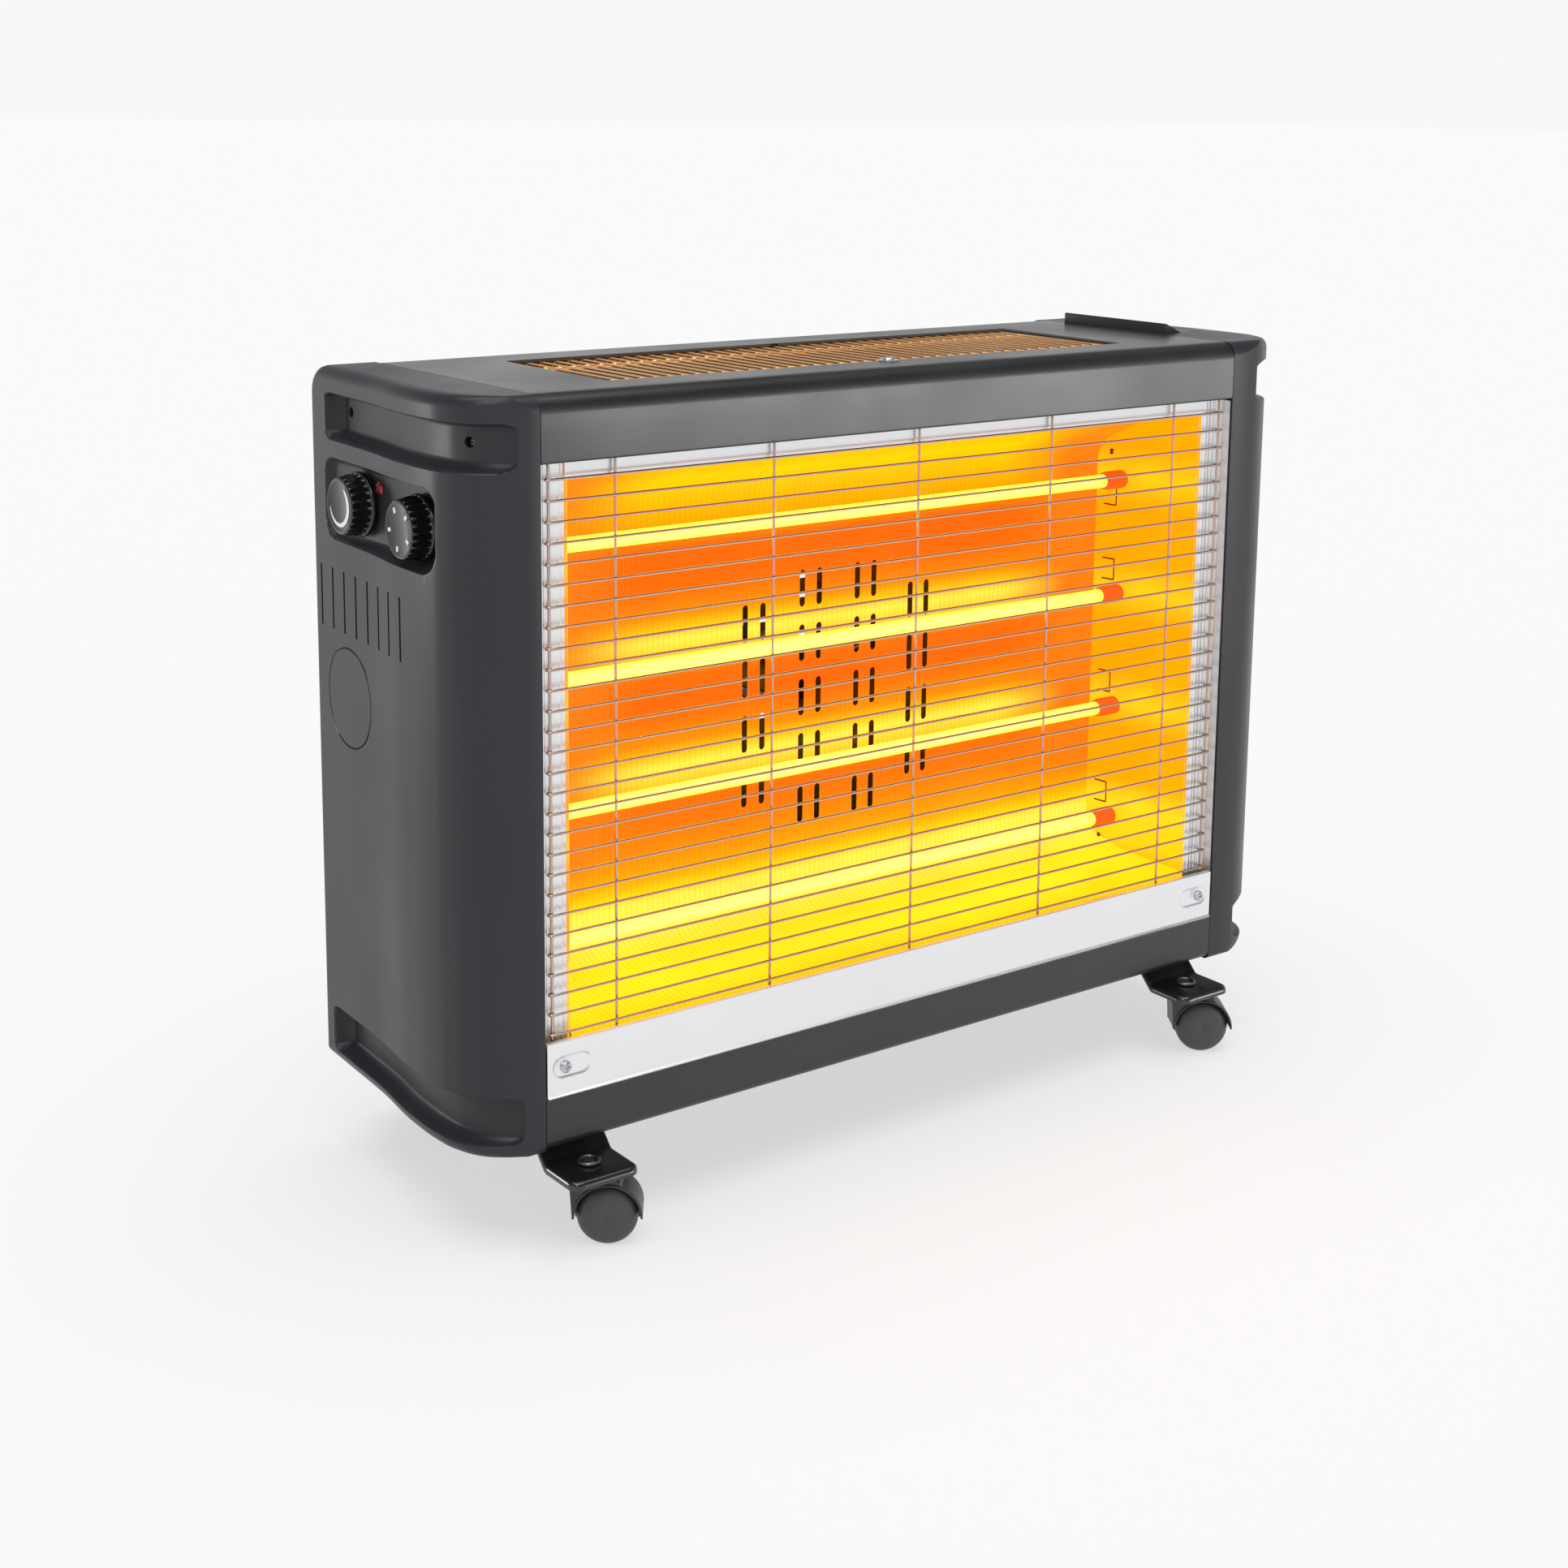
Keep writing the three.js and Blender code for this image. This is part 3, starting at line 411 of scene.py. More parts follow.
def warp_slot(u, v, at, half_w, half_h, reach=1.8):
    """Bends grid lines round an obround, within reach times its half width.

    Its width lies along u and its height along v. A circle has half_h = half_w.
    """
    du, dv = u - at[0], v - at[1]
    past = np.maximum(np.abs(dv) - (half_h - half_w), 0)
    a, b = du / half_w, np.sign(dv) * past / half_w
    m = np.maximum(np.abs(a), np.abs(b))
    safe = np.maximum(m, 1)
    qa, qb = to_disc(a / safe, b / safe)
    t = np.clip((m - 1) / (reach - 1), 0, 1)
    na = (qa * (1 - t) + a / safe * t) * safe
    nb = (qb * (1 - t) + b / safe * t) * safe
    near = (m < reach) & (past > 0)
    new_v = at[1] + np.sign(dv) * (half_h - half_w) + nb * half_w
    return np.where(near, at[0] + na * half_w, u), np.where(near, new_v, v)


def evenly(centre, half, count=4):
    """The ends of count equal steps over a width."""
    return [centre + half * (2 * k / count - 1) for k in range(count + 1)]


def grid_part(points, keep=None):
    """Faces over a grid of points (rows, columns, 3), without the cells that keep leaves out."""
    rows, cols = points.shape[:2]
    faces = []
    for i in range(rows - 1):
        for j in range(cols - 1):
            if keep is None or keep[i, j]:
                a = i * cols + j
                faces.append((a, a + cols, a + cols + 1, a + 1))
    return points.reshape(-1, 3), faces


def grid(us, vs):
    return np.meshgrid(us, vs, indexing="ij")


def cell_middles(us, vs):
    """The middles of a grid's cells, for the tests that leave cells out."""
    return grid((us[1:] + us[:-1]) / 2, (vs[1:] + vs[:-1]) / 2)


def outside(mu, mv, at, half_u, half_v):
    """The cells whose middles lie outside an oblong."""
    return ~((np.abs(mu - at[0]) < half_u) & (np.abs(mv - at[1]) < half_v))


def thicken(part, wall):
    """A closed shell: the surface, its copy one wall behind it, and the edge between them."""
    points, faces = part
    normals = np.zeros_like(points)
    quads = np.array(faces)
    face_normals = np.cross(points[quads[:, 2]] - points[quads[:, 0]],
                            points[quads[:, 3]] - points[quads[:, 1]])
    for corner in range(4):
        np.add.at(normals, quads[:, corner], face_normals)
    length = np.linalg.norm(normals, axis=1, keepdims=True)
    used = length[:, 0] > 1e-12
    normals = np.where(length > 1e-12, normals / np.maximum(length, 1e-12), 0)
    count = len(points)
    edges = dict.fromkeys((a, b) for face in faces for a, b in zip(face, face[1:] + face[:1]))
    rim = [(a, b) for a, b in edges if (b, a) not in edges]
    shell = faces + [tuple(i + count for i in face[::-1]) for face in faces]
    shell += [(b, a, a + count, b + count) for a, b in rim]
    both = np.concatenate([points, points - normals * wall])
    kept = np.concatenate([used, used])
    number = np.cumsum(kept) - 1
    return both[kept], [tuple(int(number[i]) for i in face) for face in shell]


def sheet(x, y, z, wall, keep=None):
    """A grid of points as a closed sheet."""
    return thicken(grid_part(np.stack([x, y, z], -1), keep), wall)


def rounded(corners, steps):
    """Rounds the corners of an open run; each is (u, v) or (u, v, radius)."""
    out, count = [], len(corners)
    for i, corner in enumerate(corners):
        here = np.array(corner[:2], float)
        radius = corner[2] if len(corner) > 2 else 0
        if radius == 0 or i in (0, count - 1):
            out.append(here)
            continue
        before = np.array(corners[i - 1][:2], float) - here
        after = np.array(corners[i + 1][:2], float) - here
        before /= np.linalg.norm(before)
        after /= np.linalg.norm(after)
        half = math.acos(float(np.clip(before @ after, -1, 1))) / 2
        middle = before + after
        centre = here + middle / np.linalg.norm(middle) * radius / math.sin(half)
        start = here + before * radius / math.tan(half) - centre
        stop = here + after * radius / math.tan(half) - centre
        sweep = math.atan2(start[0] * stop[1] - start[1] * stop[0], float(start @ stop))
        for k in range(steps + 1):
            c, s = math.cos(sweep * k / steps), math.sin(sweep * k / steps)
            out.append(centre + [start[0] * c - start[1] * s, start[0] * s + start[1] * c])
    return np.array(out)


class Run:
    """A bent profile in (y, z), followed by its length."""

    def __init__(self, corners, steps=6):
        self.points = rounded(corners, steps)
        step = np.linalg.norm(np.diff(self.points, axis=0), axis=1)
        self.at = np.concatenate([[0], np.cumsum(step)])
        self.length = float(self.at[-1])

    def place(self, s):
        """y and z at a length along the run."""
        y = np.interp(s, self.at, self.points[:, 0])
        z = np.interp(s, self.at, self.points[:, 1])
        return y, z

    def side(self, s):
        """Unit direction to the left of the way the run goes."""
        y0, z0 = self.place(np.clip(s - 0.2, 0, self.length))
        y1, z1 = self.place(np.clip(s + 0.2, 0, self.length))
        size = np.maximum(np.hypot(y1 - y0, z1 - z0), 1e-9)
        return -(z1 - z0) / size, (y1 - y0) / size

    def where(self, index, value, low, high):
        """The length at which y (index 0) or z (index 1) has a value, between two lengths."""
        s = np.linspace(low, high, 4000)
        return float(s[np.argmin(np.abs(self.place(s)[index] - value))])


def bent_sheet(run, xs, ss, slots=(), wall=1.0, lift=None, narrow=None, reach=1.8):
    """A bent sheet along x. slots are (x, s, half width, half length); lift moves points outward."""
    x, s = grid(xs, ss)
    mx, ms = cell_middles(xs, ss)
    keep = np.ones(mx.shape, bool)
    for cx, cs, hw, hh in slots:
        keep &= outside(mx, ms, (cx, cs), hw, hh)
        x, s = warp_slot(x, s, (cx, cs), hw, hh, reach)
    y, z = run.place(s)
    if lift is not None:
        ny, nz = run.side(s)
        amount = lift(x, s)
        y, z = y + ny * amount, z + nz * amount
    if narrow is not None:
        x = x * narrow(y)
    return sheet(x, y, z, wall, keep)


def sweep(path, radius, sides=10):
    """A round bar along a path; radius is one number or one for each point."""
    path = np.asarray(path, float)
    tangents = np.gradient(path, axis=0)
    tangents /= np.linalg.norm(tangents, axis=1, keepdims=True)
    first = np.cross(tangents[0], [0, 0, 1.0])
    if np.linalg.norm(first) < 0.1:
        first = np.cross(tangents[0], [0, 1.0, 0])
    u = first / np.linalg.norm(first)
    points = []
    radii = np.full(len(path), float(radius)) if np.isscalar(radius) else np.asarray(radius, float)
    angles = np.arange(sides) * 2 * math.pi / sides
    for p, t, r in zip(path, tangents, radii):
        u = u - t * (u @ t)
        u /= np.linalg.norm(u)
        v = np.cross(t, u)
        points.append(p + r * (np.outer(np.cos(angles), u) + np.outer(np.sin(angles), v)))
    faces = []
    for i in range(len(path) - 1):
        for j in range(sides):
            k = (j + 1) % sides
            faces.append((i * sides + j, i * sides + k, (i + 1) * sides + k, (i + 1) * sides + j))
    faces.append(tuple(range(sides))[::-1])
    faces.append(tuple(range((len(path) - 1) * sides, len(path) * sides)))
    return np.concatenate(points), faces


def bar(a, b, radius, sides=10):
    """A straight round bar with softened ends."""
    a, b = np.array(a, float), np.array(b, float)
    d = (b - a) / np.linalg.norm(b - a) * radius * 0.6
    path = [a, a + d * 0.35, a + d, b - d, b - d * 0.35, b]
    shares = np.array([0.5, 0.86, 1, 1, 0.86, 0.5])
    return sweep(path, radius * shares, sides)


BASIS = {"x": ((0, 1, 0), (0, 0, 1), (1, 0, 0)), "y": ((0, 0, 1), (1, 0, 0), (0, 1, 0)),
         "z": ((1, 0, 0), (0, 1, 0), (0, 0, 1))}


def turned(axis, profile, u, v, sides=48, wobble=None):
    """A turned body: profile of (radius, height), height along the axis, from axis to axis."""
    eu, ev, ew = (np.array(e, float) for e in BASIS[axis])
    centre = eu * u + ev * v
    angles = np.arange(sides) * 2 * math.pi / sides
    points, rings = [], []
    for r, h in profile:
        if r < 1e-6:
            rings.append([len(points)] * sides)
            points.append(centre + ew * h)
            continue
        rings.append(list(range(len(points), len(points) + sides)))
        for t in angles:
            rr = r - (wobble(t, r, h) if wobble else 0)
            points.append(centre + ew * h + rr * (eu * math.cos(t) + ev * math.sin(t)))
    faces = []
    for low, high in zip(rings, rings[1:]):
        for j in range(sides):
            k = (j + 1) % sides
            face = list(dict.fromkeys([low[j], low[k], high[k], high[j]]))
            if len(face) > 2:
                faces.append(tuple(face))
    if profile[0][0] > 1e-6 and profile[-1][0] > 1e-6:
        for j in range(sides):
            k = (j + 1) % sides
            faces.append((rings[-1][j], rings[-1][k], rings[0][k], rings[0][j]))
    return np.array(points), faces


def slab(outline, axis, low, high):
    """An extruded outline, closed at both ends."""
    eu, ev, ew = (np.array(e, float) for e in BASIS[axis])
    outline = np.asarray(outline, float)
    area = np.sum(outline[:, 0] * np.roll(outline[:, 1], -1) - outline[:, 1] * np.roll(outline[:, 0], -1))
    if area < 0:
        outline = outline[::-1]
    flat = outline[:, :1] * eu + outline[:, 1:2] * ev
    count = len(outline)
    faces = [tuple(range(count))[::-1], tuple(range(count, 2 * count))]
    faces += [(j, (j + 1) % count, (j + 1) % count + count, j + count) for j in range(count)]
    return np.concatenate([flat + ew * low, flat + ew * high]), faces


def ease(t):
    """0 to 1 with level ends, over t from 0 to 1."""
    t = np.clip(t, 0, 1)
    return t * t * (3 - 2 * t)


# ---- end caps ----
PLAN_Y = np.array([0, 2, 9, 20, 32, 46, 66, 88, 138, 180, 228.0])
PLAN_REACH = {
    "left": np.array([298, 309, 323, 335, 341, 344.4, 345.6, 345, 340, 338, 335.8]),
    "right": np.array([302, 322, 338, 351, 358, 361.4, 362, 361.8, 357, 355, 352.8]),
}
CAP_LOW, CAP_EDGE, CAP_WALL = Z_BASE - 2, 8.0, 2.2
REAR_TOP_R, REAR_LOW_R = 18.0, 6.0
SEAM = HALF_W + 0.4
GRIPS = [(1.5, 203, 492, 523), (1.5, 211, 70, 103)]
GRIP_DEPTH = 12.0
CONTROL = (42, 203, 427, 481)
CONTROL_FLOOR = 331.5
GRIP_HOLES = [(28, 510), (186, 510)]
GRIP_HOLE_R = 3.4
VENTS = {"count": 8, "y0": 87, "pitch": 18, "z0": 367, "z1": 408, "half": 1.2}
KNOCKOUT = {"at": (172, 325), "radius": 33.0}


def cubic_at(t, xs, ys):
    """A smooth curve through points, without overshoot."""
    h = np.diff(xs)
    d = np.diff(ys) / h
    m = np.zeros_like(ys)
    inner = d[:-1] * d[1:] > 0
    weight1, weight2 = 2 * h[1:] + h[:-1], h[1:] + 2 * h[:-1]
    with np.errstate(divide="ignore", invalid="ignore"):
        mean = (weight1 + weight2) / (weight1 / d[:-1] + weight2 / d[1:])
    m[1:-1] = np.where(inner, mean, 0)
    m[0], m[-1] = d[0], d[-1]
    i = np.clip(np.searchsorted(xs, t) - 1, 0, len(h) - 1)
    s = (t - xs[i]) / h[i]
    return ((2 * s**3 - 3 * s**2 + 1) * ys[i] + (s**3 - 2 * s**2 + s) * h[i] * m[i]
            + (3 * s**2 - 2 * s**3) * ys[i + 1] + (s**3 - s**2) * h[i] * m[i + 1])


def scoop(t):
    """0 at a pocket's rim to 1 on its floor: a small round at the rim, then a hollow wall."""
    s = np.clip(t, 0, 1)
    return (1 - (1 - s) ** 2) * ease(s / 0.35)


def pocket(y, z, box, front, rear, low, high, corner):
    """A pressed-in pocket whose walls slope over the four widths given.

    corner is the round of its corners, counted in wall widths.
    """
    y0, y1, z0, z1 = box
    a = np.minimum((y - y0) / front, (y1 - y) / rear)
    b = np.minimum((z - z0) / low, (z1 - z) / high)
    inside = np.where((a < corner) & (b < corner), corner - np.hypot(corner - a, corner - b),
                      np.minimum(a, b))
    return scoop(inside)


def round_outline(y, z):
    """Carries the square corners of the side outline to round ones."""
    for corner, inwards, r in (((0, Z_TOP), (1, -1), 10), ((CAP_DEPTH, Z_TOP), (-1, -1), REAR_TOP_R),
                               ((CAP_DEPTH, CAP_LOW), (-1, 1), REAR_LOW_R), ((0, CAP_LOW), (1, 1), 5)):
        y, z = round_corner(y, z, corner, inwards, r)
    return y, z


def edge_distance(y, z):
    """Distance in from the top, rear and bottom edges of the side outline."""
    d = np.minimum(np.minimum(CAP_DEPTH - y, Z_TOP - z), z - CAP_LOW)
    for cz, sz, r in ((Z_TOP, -1, REAR_TOP_R), (CAP_LOW, 1, REAR_LOW_R)):
        py, pz = y - (CAP_DEPTH - r), sz * (cz - z) + r
        near = (py > 0) & (pz > 0)
        d = np.where(near, r - np.hypot(py, pz), d)
    return np.maximum(d, 0)


def cap_reach(side, y, z):
    """How far a cap's side stands from the middle of the heater."""
    reach = cubic_at(np.sqrt(np.maximum(y, 0)), np.sqrt(PLAN_Y), PLAN_REACH[side])
    inset = np.clip(CAP_EDGE - edge_distance(y, z), 0, CAP_EDGE)
    reach = reach - (CAP_EDGE - np.sqrt(np.maximum(CAP_EDGE**2 - inset**2, 0)))
    for box in GRIPS:
        reach = reach - GRIP_DEPTH * pocket(y, z, box, 8, 10, 7, 4.5, 0.95)
    if side == "left":
        deep = pocket(y, z, CONTROL, 7, 5, 6.5, 4.5, 2.2)
        reach = np.where(deep > 0, reach + (np.minimum(CONTROL_FLOOR, reach) - reach) * deep, reach)
    return np.maximum(reach, SEAM + 1.0)


LID = {"x0": 300, "x1": 338, "y0": 77, "y1": 187}
LID_GAP = 0.6
# Rows of the edge wall, from the outline in to the seam, and those along the lid's hole.
EDGE_ROWS, HOLE_OUTER, HOLE_INNER = 7, 2, 5
SEAM_RETURN = DEPTH - 6


def edge_wall(skin, side):
    """The wall from the skin's outline in to the seam, as rows, and the cells that it has."""
    ring = outline_of(skin)
    ring = np.concatenate([ring, ring[:1]])
    along = ring[:, 1]
    on_top = np.abs(ring[:, 2] - Z_TOP) < 0.01
    near_lid = (side == "right") & on_top & (along > LID["y0"] - 17) & (along < LID["y1"] + 13)
    wall = []
    for share in np.linspace(0, 1, EDGE_ROWS):
        row = ring.copy()
        row[:, 0] = row[:, 0] + (SEAM - row[:, 0]) * share
        wall.append(row)
    # Two rows follow the long edges of the hole that the lid lies in.
    wall[HOLE_OUTER][near_lid, 0] = LID["x1"] + LID_GAP
    wall[HOLE_INNER][near_lid, 0] = LID["x0"] - LID_GAP
    # Behind the body, which is less deep, the seam edge is turned in to close the hollow.
    row = ring.copy()
    row[:, 0] = SEAM
    row[:, 1] = np.minimum(row[:, 1], SEAM_RETURN)
    wall.append(row)
    middle = (along[1:] + along[:-1]) / 2
    over_lid = (middle > LID["y0"] - LID_GAP) & (middle < LID["y1"] + LID_GAP)
    over_lid &= near_lid[1:] & near_lid[:-1]
    closed = np.ones((len(wall) - 1, len(middle)), bool)
    closed[HOLE_OUTER:HOLE_INNER, over_lid] = False
    behind = along > SEAM_RETURN + 0.1
    closed[-1] = behind[1:] & behind[:-1]
    return np.stack(wall), closed


def build_cap(side):
    """A moulded cap: its shaped side with grips, vents and holes, and the wall round its edge."""
    yv = [VENTS["y0"] + VENTS["pitch"] * k for k in range(VENTS["count"])]
    hard_y = [y + s * VENTS["half"] for y in yv for s in (-1, 1)]
    hard_z = [VENTS["z0"], VENTS["z1"]]
    for y, z in GRIP_HOLES:
        hard_y += evenly(y, GRIP_HOLE_R, 6)
        hard_z += evenly(z, GRIP_HOLE_R, 6)
    if side == "left":
        groove = [s * KNOCKOUT["radius"] * f for f in (0.965, 0.98, 1.0, 1.02, 1.035) for s in (-1, 1)]
        hard_y += [KNOCKOUT["at"][0] + g for g in groove]
        hard_z += [KNOCKOUT["at"][1] + g for g in groove]
    else:
        hard_y += [LID["y0"] - LID_GAP, LID["y1"] + LID_GAP]
    front = [t * t for t in np.linspace(0, 5.6, 19)]
    ys = lines(0, CAP_DEPTH, 5.5, [(1, 16, 1.0), (188, 216, 1.3), (218, 228, 0.9), (38, 60, 1.0)],
               hard_y + front[1:])
    zs = lines(CAP_LOW, Z_TOP, 6.5, [(CAP_LOW, CAP_LOW + 9, 0.9), (70, 84, 1.0), (97, 104, 0.8),
                                     (427, 440, 1.0), (464, 482, 0.9), (492, 506, 1.0),
                                     (517, 524, 0.8), (Z_TOP - 19, Z_TOP, 0.9)], hard_z)
    y, z = grid(ys, zs)
    my, mz = cell_middles(ys, zs)
    keep = np.ones(my.shape, bool)
    vent_z, vent_half = (VENTS["z0"] + VENTS["z1"]) / 2, (VENTS["z1"] - VENTS["z0"]) / 2
    for vent_y in yv:
        keep &= outside(my, mz, (vent_y, vent_z), VENTS["half"], vent_half)
    if side == "left":
        at, r = KNOCKOUT["at"], KNOCKOUT["radius"]
        ring = np.maximum(np.abs(y - at[0]), np.abs(z - at[1]))
        sunk = np.clip(1 - np.abs(ring / r - 1) / 0.02, 0, 1) * 0.9
        y, z = warp_slot(y, z, at, r, r, 1.25)
    else:
        sunk = 0
    for at in GRIP_HOLES:
        keep &= outside(my, mz, at, GRIP_HOLE_R, GRIP_HOLE_R)
        y, z = warp_slot(y, z, at, GRIP_HOLE_R, GRIP_HOLE_R, 1.7)
    y, z = round_outline(y, z)
    x = cap_reach(side, y, z) - sunk
    skin = np.stack([x, y, z], -1)
    part = weld(*merge([grid_part(skin, keep), grid_part(*edge_wall(skin, side))]))
    return on_side(thicken(part, CAP_WALL), 1 if side == "right" else -1)


for side in ("left", "right"):
    piece(f"{side}_cap_moulding", build_cap(side), CAP, nodes=[f"{side}_end_cap"], angle=32)


# ---- sheet metal ----
GRILLE = {"x": 218, "y0": 45, "y1": 169}
SHELL_X = HALF_W - 0.1
HEM, HEM_R, SHEET = 3.7, 1.2, 1.2
PAN_DEPTH, PAN_SLOT = DEPTH - 3.5, (2, 35)
SCREW_HOLE = 2.6
FRONT_BEND, REAR_BEND, REAR_EDGE = 12, 17, 508
DIP, DIP_REACH, NOTCH = 0.9, 3.2, 3.5


def build_top_shell():
    """The fascia, top and rear edge in one bent sheet, with the opening for the grille."""
    run = Run([(HEM, Z_FASCIA), (0, Z_FASCIA, HEM_R), (0, Z_TOP, FRONT_BEND), (DEPTH, Z_TOP, REAR_BEND),
               (DEPTH, REAR_EDGE)], 10)
    top_from, top_to = run.where(0, 30, 40, 120), run.where(0, 190, 150, 260)
    s0 = run.where(0, GRILLE["y0"], top_from - 20, top_to)
    s1 = run.where(0, GRILLE["y1"], top_from, top_to + 10)
    middle, half_s = (s0 + s1) / 2, (s1 - s0) / 2
    screw_s = s0 - 5.5
    xs = lines(-SHELL_X, SHELL_X, 14, [(-12, 12, 1.2), (GRILLE["x"] - 6, GRILLE["x"] + 6, 1),
                                       (-GRILLE["x"] - 6, -GRILLE["x"] + 6, 1)],
               [-GRILLE["x"], GRILLE["x"], *evenly(0, SCREW_HOLE)])
    ss = lines(0, run.length, 9, [(0, 6, 0.6), (s0 - 10, s0 + 4, 1), (s1 - 4, s1 + 8, 1)],
               [s0, s1, *evenly(screw_s, SCREW_HOLE), *run.at[1:-1]])
    x, s = grid(xs, ss)
    mx, ms = cell_middles(xs, ss)
    keep = outside(mx, ms, (0, middle), GRILLE["x"], half_s)
    keep &= outside(mx, ms, (0, screw_s), SCREW_HOLE, SCREW_HOLE)
    keep &= outside(mx, ms, (0, s1 + NOTCH / 2), NOTCH, NOTCH / 2)
    x, s = warp_slot(x, s, (0, screw_s), SCREW_HOLE, SCREW_HOLE, 1.5)
    # The lip of the opening is turned down a little all round.
    gap_x, gap_s = np.abs(x) - GRILLE["x"], np.abs(s - middle) - half_s
    dip = DIP * (1 - ease(np.hypot(np.maximum(gap_x, 0), np.maximum(gap_s, 0)) / DIP_REACH))
    y, z = run.place(s)
    z = z - np.where((s > s0 - 12) & (s < s1 + 12), dip, 0)
    return sheet(x, y, z, SHEET, keep)


def build_base_pan():
    """The front rail, the floor with its air slots and the rear edge in one bent sheet."""
    run = Run([(HEM, Z_RAIL), (0, Z_RAIL, HEM_R), (0, Z_BASE, 5), (PAN_DEPTH, Z_BASE, 3), (PAN_DEPTH, 104)])
    under = run.where(0, 115, 60, 260)
    slots = [(-160 + 40 * k, under, *PAN_SLOT) for k in range(9)]
    hard_x = [v for x, _, hw, _ in slots for v in evenly(x, hw)]
    edges = [under + s * (PAN_SLOT[1] - e) for s in (-1, 1) for e in (0, 0.7, 2)]
    xs = lines(-SHELL_X, SHELL_X, 14, [], hard_x)
    ss = lines(0, run.length, 9, [(0, 6, 0.6)], [*edges, *run.at[1:-1]])
    return bent_sheet(run, xs, ss, slots, wall=-SHEET, reach=1.6)


SILL_PAD_X, SILL_SCREW = 276, (281, 117)


def build_sill():
    """The bright strip under the opening, with a pressed pad for each of its screws."""
    z0 = Z_RAIL + 0.5
    run = Run([(HEM, Z_SILL), (0.2, Z_SILL, 0.8), (0.2, z0 + 1), (-1.2, z0)])

    def lift(x, s):
        _, z = run.place(s)
        past = np.maximum(np.abs(np.abs(x) - SILL_PAD_X) - 7, 0)
        inside = 7.6 - np.hypot(past, z - SILL_SCREW[1])
        # The pad is pressed outwards and has a shallow dish round the screw.
        dish = np.hypot(np.abs(x) - SILL_SCREW[0], z - SILL_SCREW[1])
        return 1.1 * ease(inside / 1.8) - 0.45 * (1 - ease((dish - 4.2) / 1.2)) * (inside > 0)

    zs = run.where(1, SILL_SCREW[1], 3, run.length)
    xs = lines(-294, 294, 12, [(s * SILL_PAD_X - 17, s * SILL_PAD_X + 17, 0.6) for s in (-1, 1)])
    ss = lines(0, run.length, 4, [(zs - 10, zs + 10, 0.6)], run.at[1:-1])
    return bent_sheet(run, xs, ss, wall=-0.9, lift=lift)


piece("top_shell_sheet", build_top_shell(), PAINT, nodes=["top_shell"])
piece("base_pan_sheet", build_base_pan(), PAINT, nodes=["base_pan"])
piece("sill_sheet", build_sill(), BRIGHT, nodes=["sill_strip"])

# ---- reflector ----
REFLECTOR_RUN = Run([(9, 496), (9, 489, 1.5), (66, 475, 26), (REFLECTOR_Y, 456, 26), (REFLECTOR_Y, 148, 24),
                     (70, 138.5, 25), (9, 134.8, 1.5), (9, 126)], 10)
SLOTS = {"row": 39.5, "column": 51, "pair": 7.8, "half_h": 13.4, "half_w": 2.7}
FOLD_PITCH = 136.0
REFLECTOR_WALL, TAB_OUT = 0.8, 3.0
FLANGE_X = 271.4


def end_x(y):
    """The face of the right end plate, which leans inwards with depth."""
    return END_X - END_LEAN * (y - LEAN_FROM)


def narrowed(y):
    return end_x(y) / END_X


def build_reflector():
    """The bright sheet behind the tubes, with its round group of slots and four pressed folds."""
    run = REFLECTOR_RUN
    plane = run.where(1, FAN_Z, 110, run.length - 110)
    slots = []
    for column, rows in ((-1.5, 4), (-0.5, 5), (0.5, 5), (1.5, 4)):
        for row in range(rows):
            s = plane - (row - (rows - 1) / 2) * SLOTS["row"]
            for pair in (-1, 1):
                x = FAN_X + column * SLOTS["column"] + pair * SLOTS["pair"]
                slots.append((x, s, SLOTS["half_w"], SLOTS["half_h"]))
    hard_x = sorted({round(v, 4) for x, _, hw, _ in slots for v in evenly(x, hw)})
    hard_s = sorted({round(s + side * v, 4) for _, s, hw, hh in slots for side in (-1, 1)
                     for v in (hh, hh - hw * 0.5, hh - hw)})
    folds = [FOLD_PITCH * (k - 1.5) for k in range(4)]
    xs = lines(-FLANGE_X, FLANGE_X, 9, [(f - 4, f + 4, 1) for f in folds], hard_x)
    ss = lines(0, run.length, 8, [], [*hard_s, *run.at[1:-1]])

    def lift(x, s):
        ridge = sum(np.exp(-((x - f) / 1.6) ** 2) for f in folds)
        on_plane = ease((s - 70) / 20) * ease((run.length - 70 - s) / 20)
        return 0.7 * ridge * on_plane

    return bent_sheet(run, xs, ss, slots, wall=REFLECTOR_WALL, lift=lift, narrow=narrowed, reach=1.6)


def build_end(side):
    """A D shaped end plate with a raised oblong."""
    z_low, z_high = 135.6, 489.0
    zs = lines(z_low, z_high, 6, [(148, 200, 2.2), (440, 478, 2.2), (z_low, 142, 1), (484, z_high, 1)])
    us = lines(0, 1, 0.04)
    s = np.linspace(8, REFLECTOR_RUN.length - 10, 3000)
    ry, rz = REFLECTOR_RUN.place(s)
    order = np.argsort(rz)
    depth = np.interp(zs, rz[order], ry[order])
    depth = np.where((zs > 160) & (zs < 440), REFLECTOR_Y, depth)
    u, z = grid(us, zs)
    y = LEAN_FROM + u * (np.maximum(depth, LEAN_FROM + 0.5) - LEAN_FROM)
    z = z + 0 * u
    half_y, half_z, radius, mid_y, mid_z = 28.0, 156.0, 26.0, 62.0, 306.0
    py = np.maximum(np.abs(y - mid_y) - (half_y - radius), 0)
    pz = np.maximum(np.abs(z - mid_z) - (half_z - radius), 0)
    raised = 2.4 * ease((radius - np.hypot(py, pz)) / 5)
    x = end_x(y) - raised
    return on_side(sheet(x, y, z, -REFLECTOR_WALL), side)


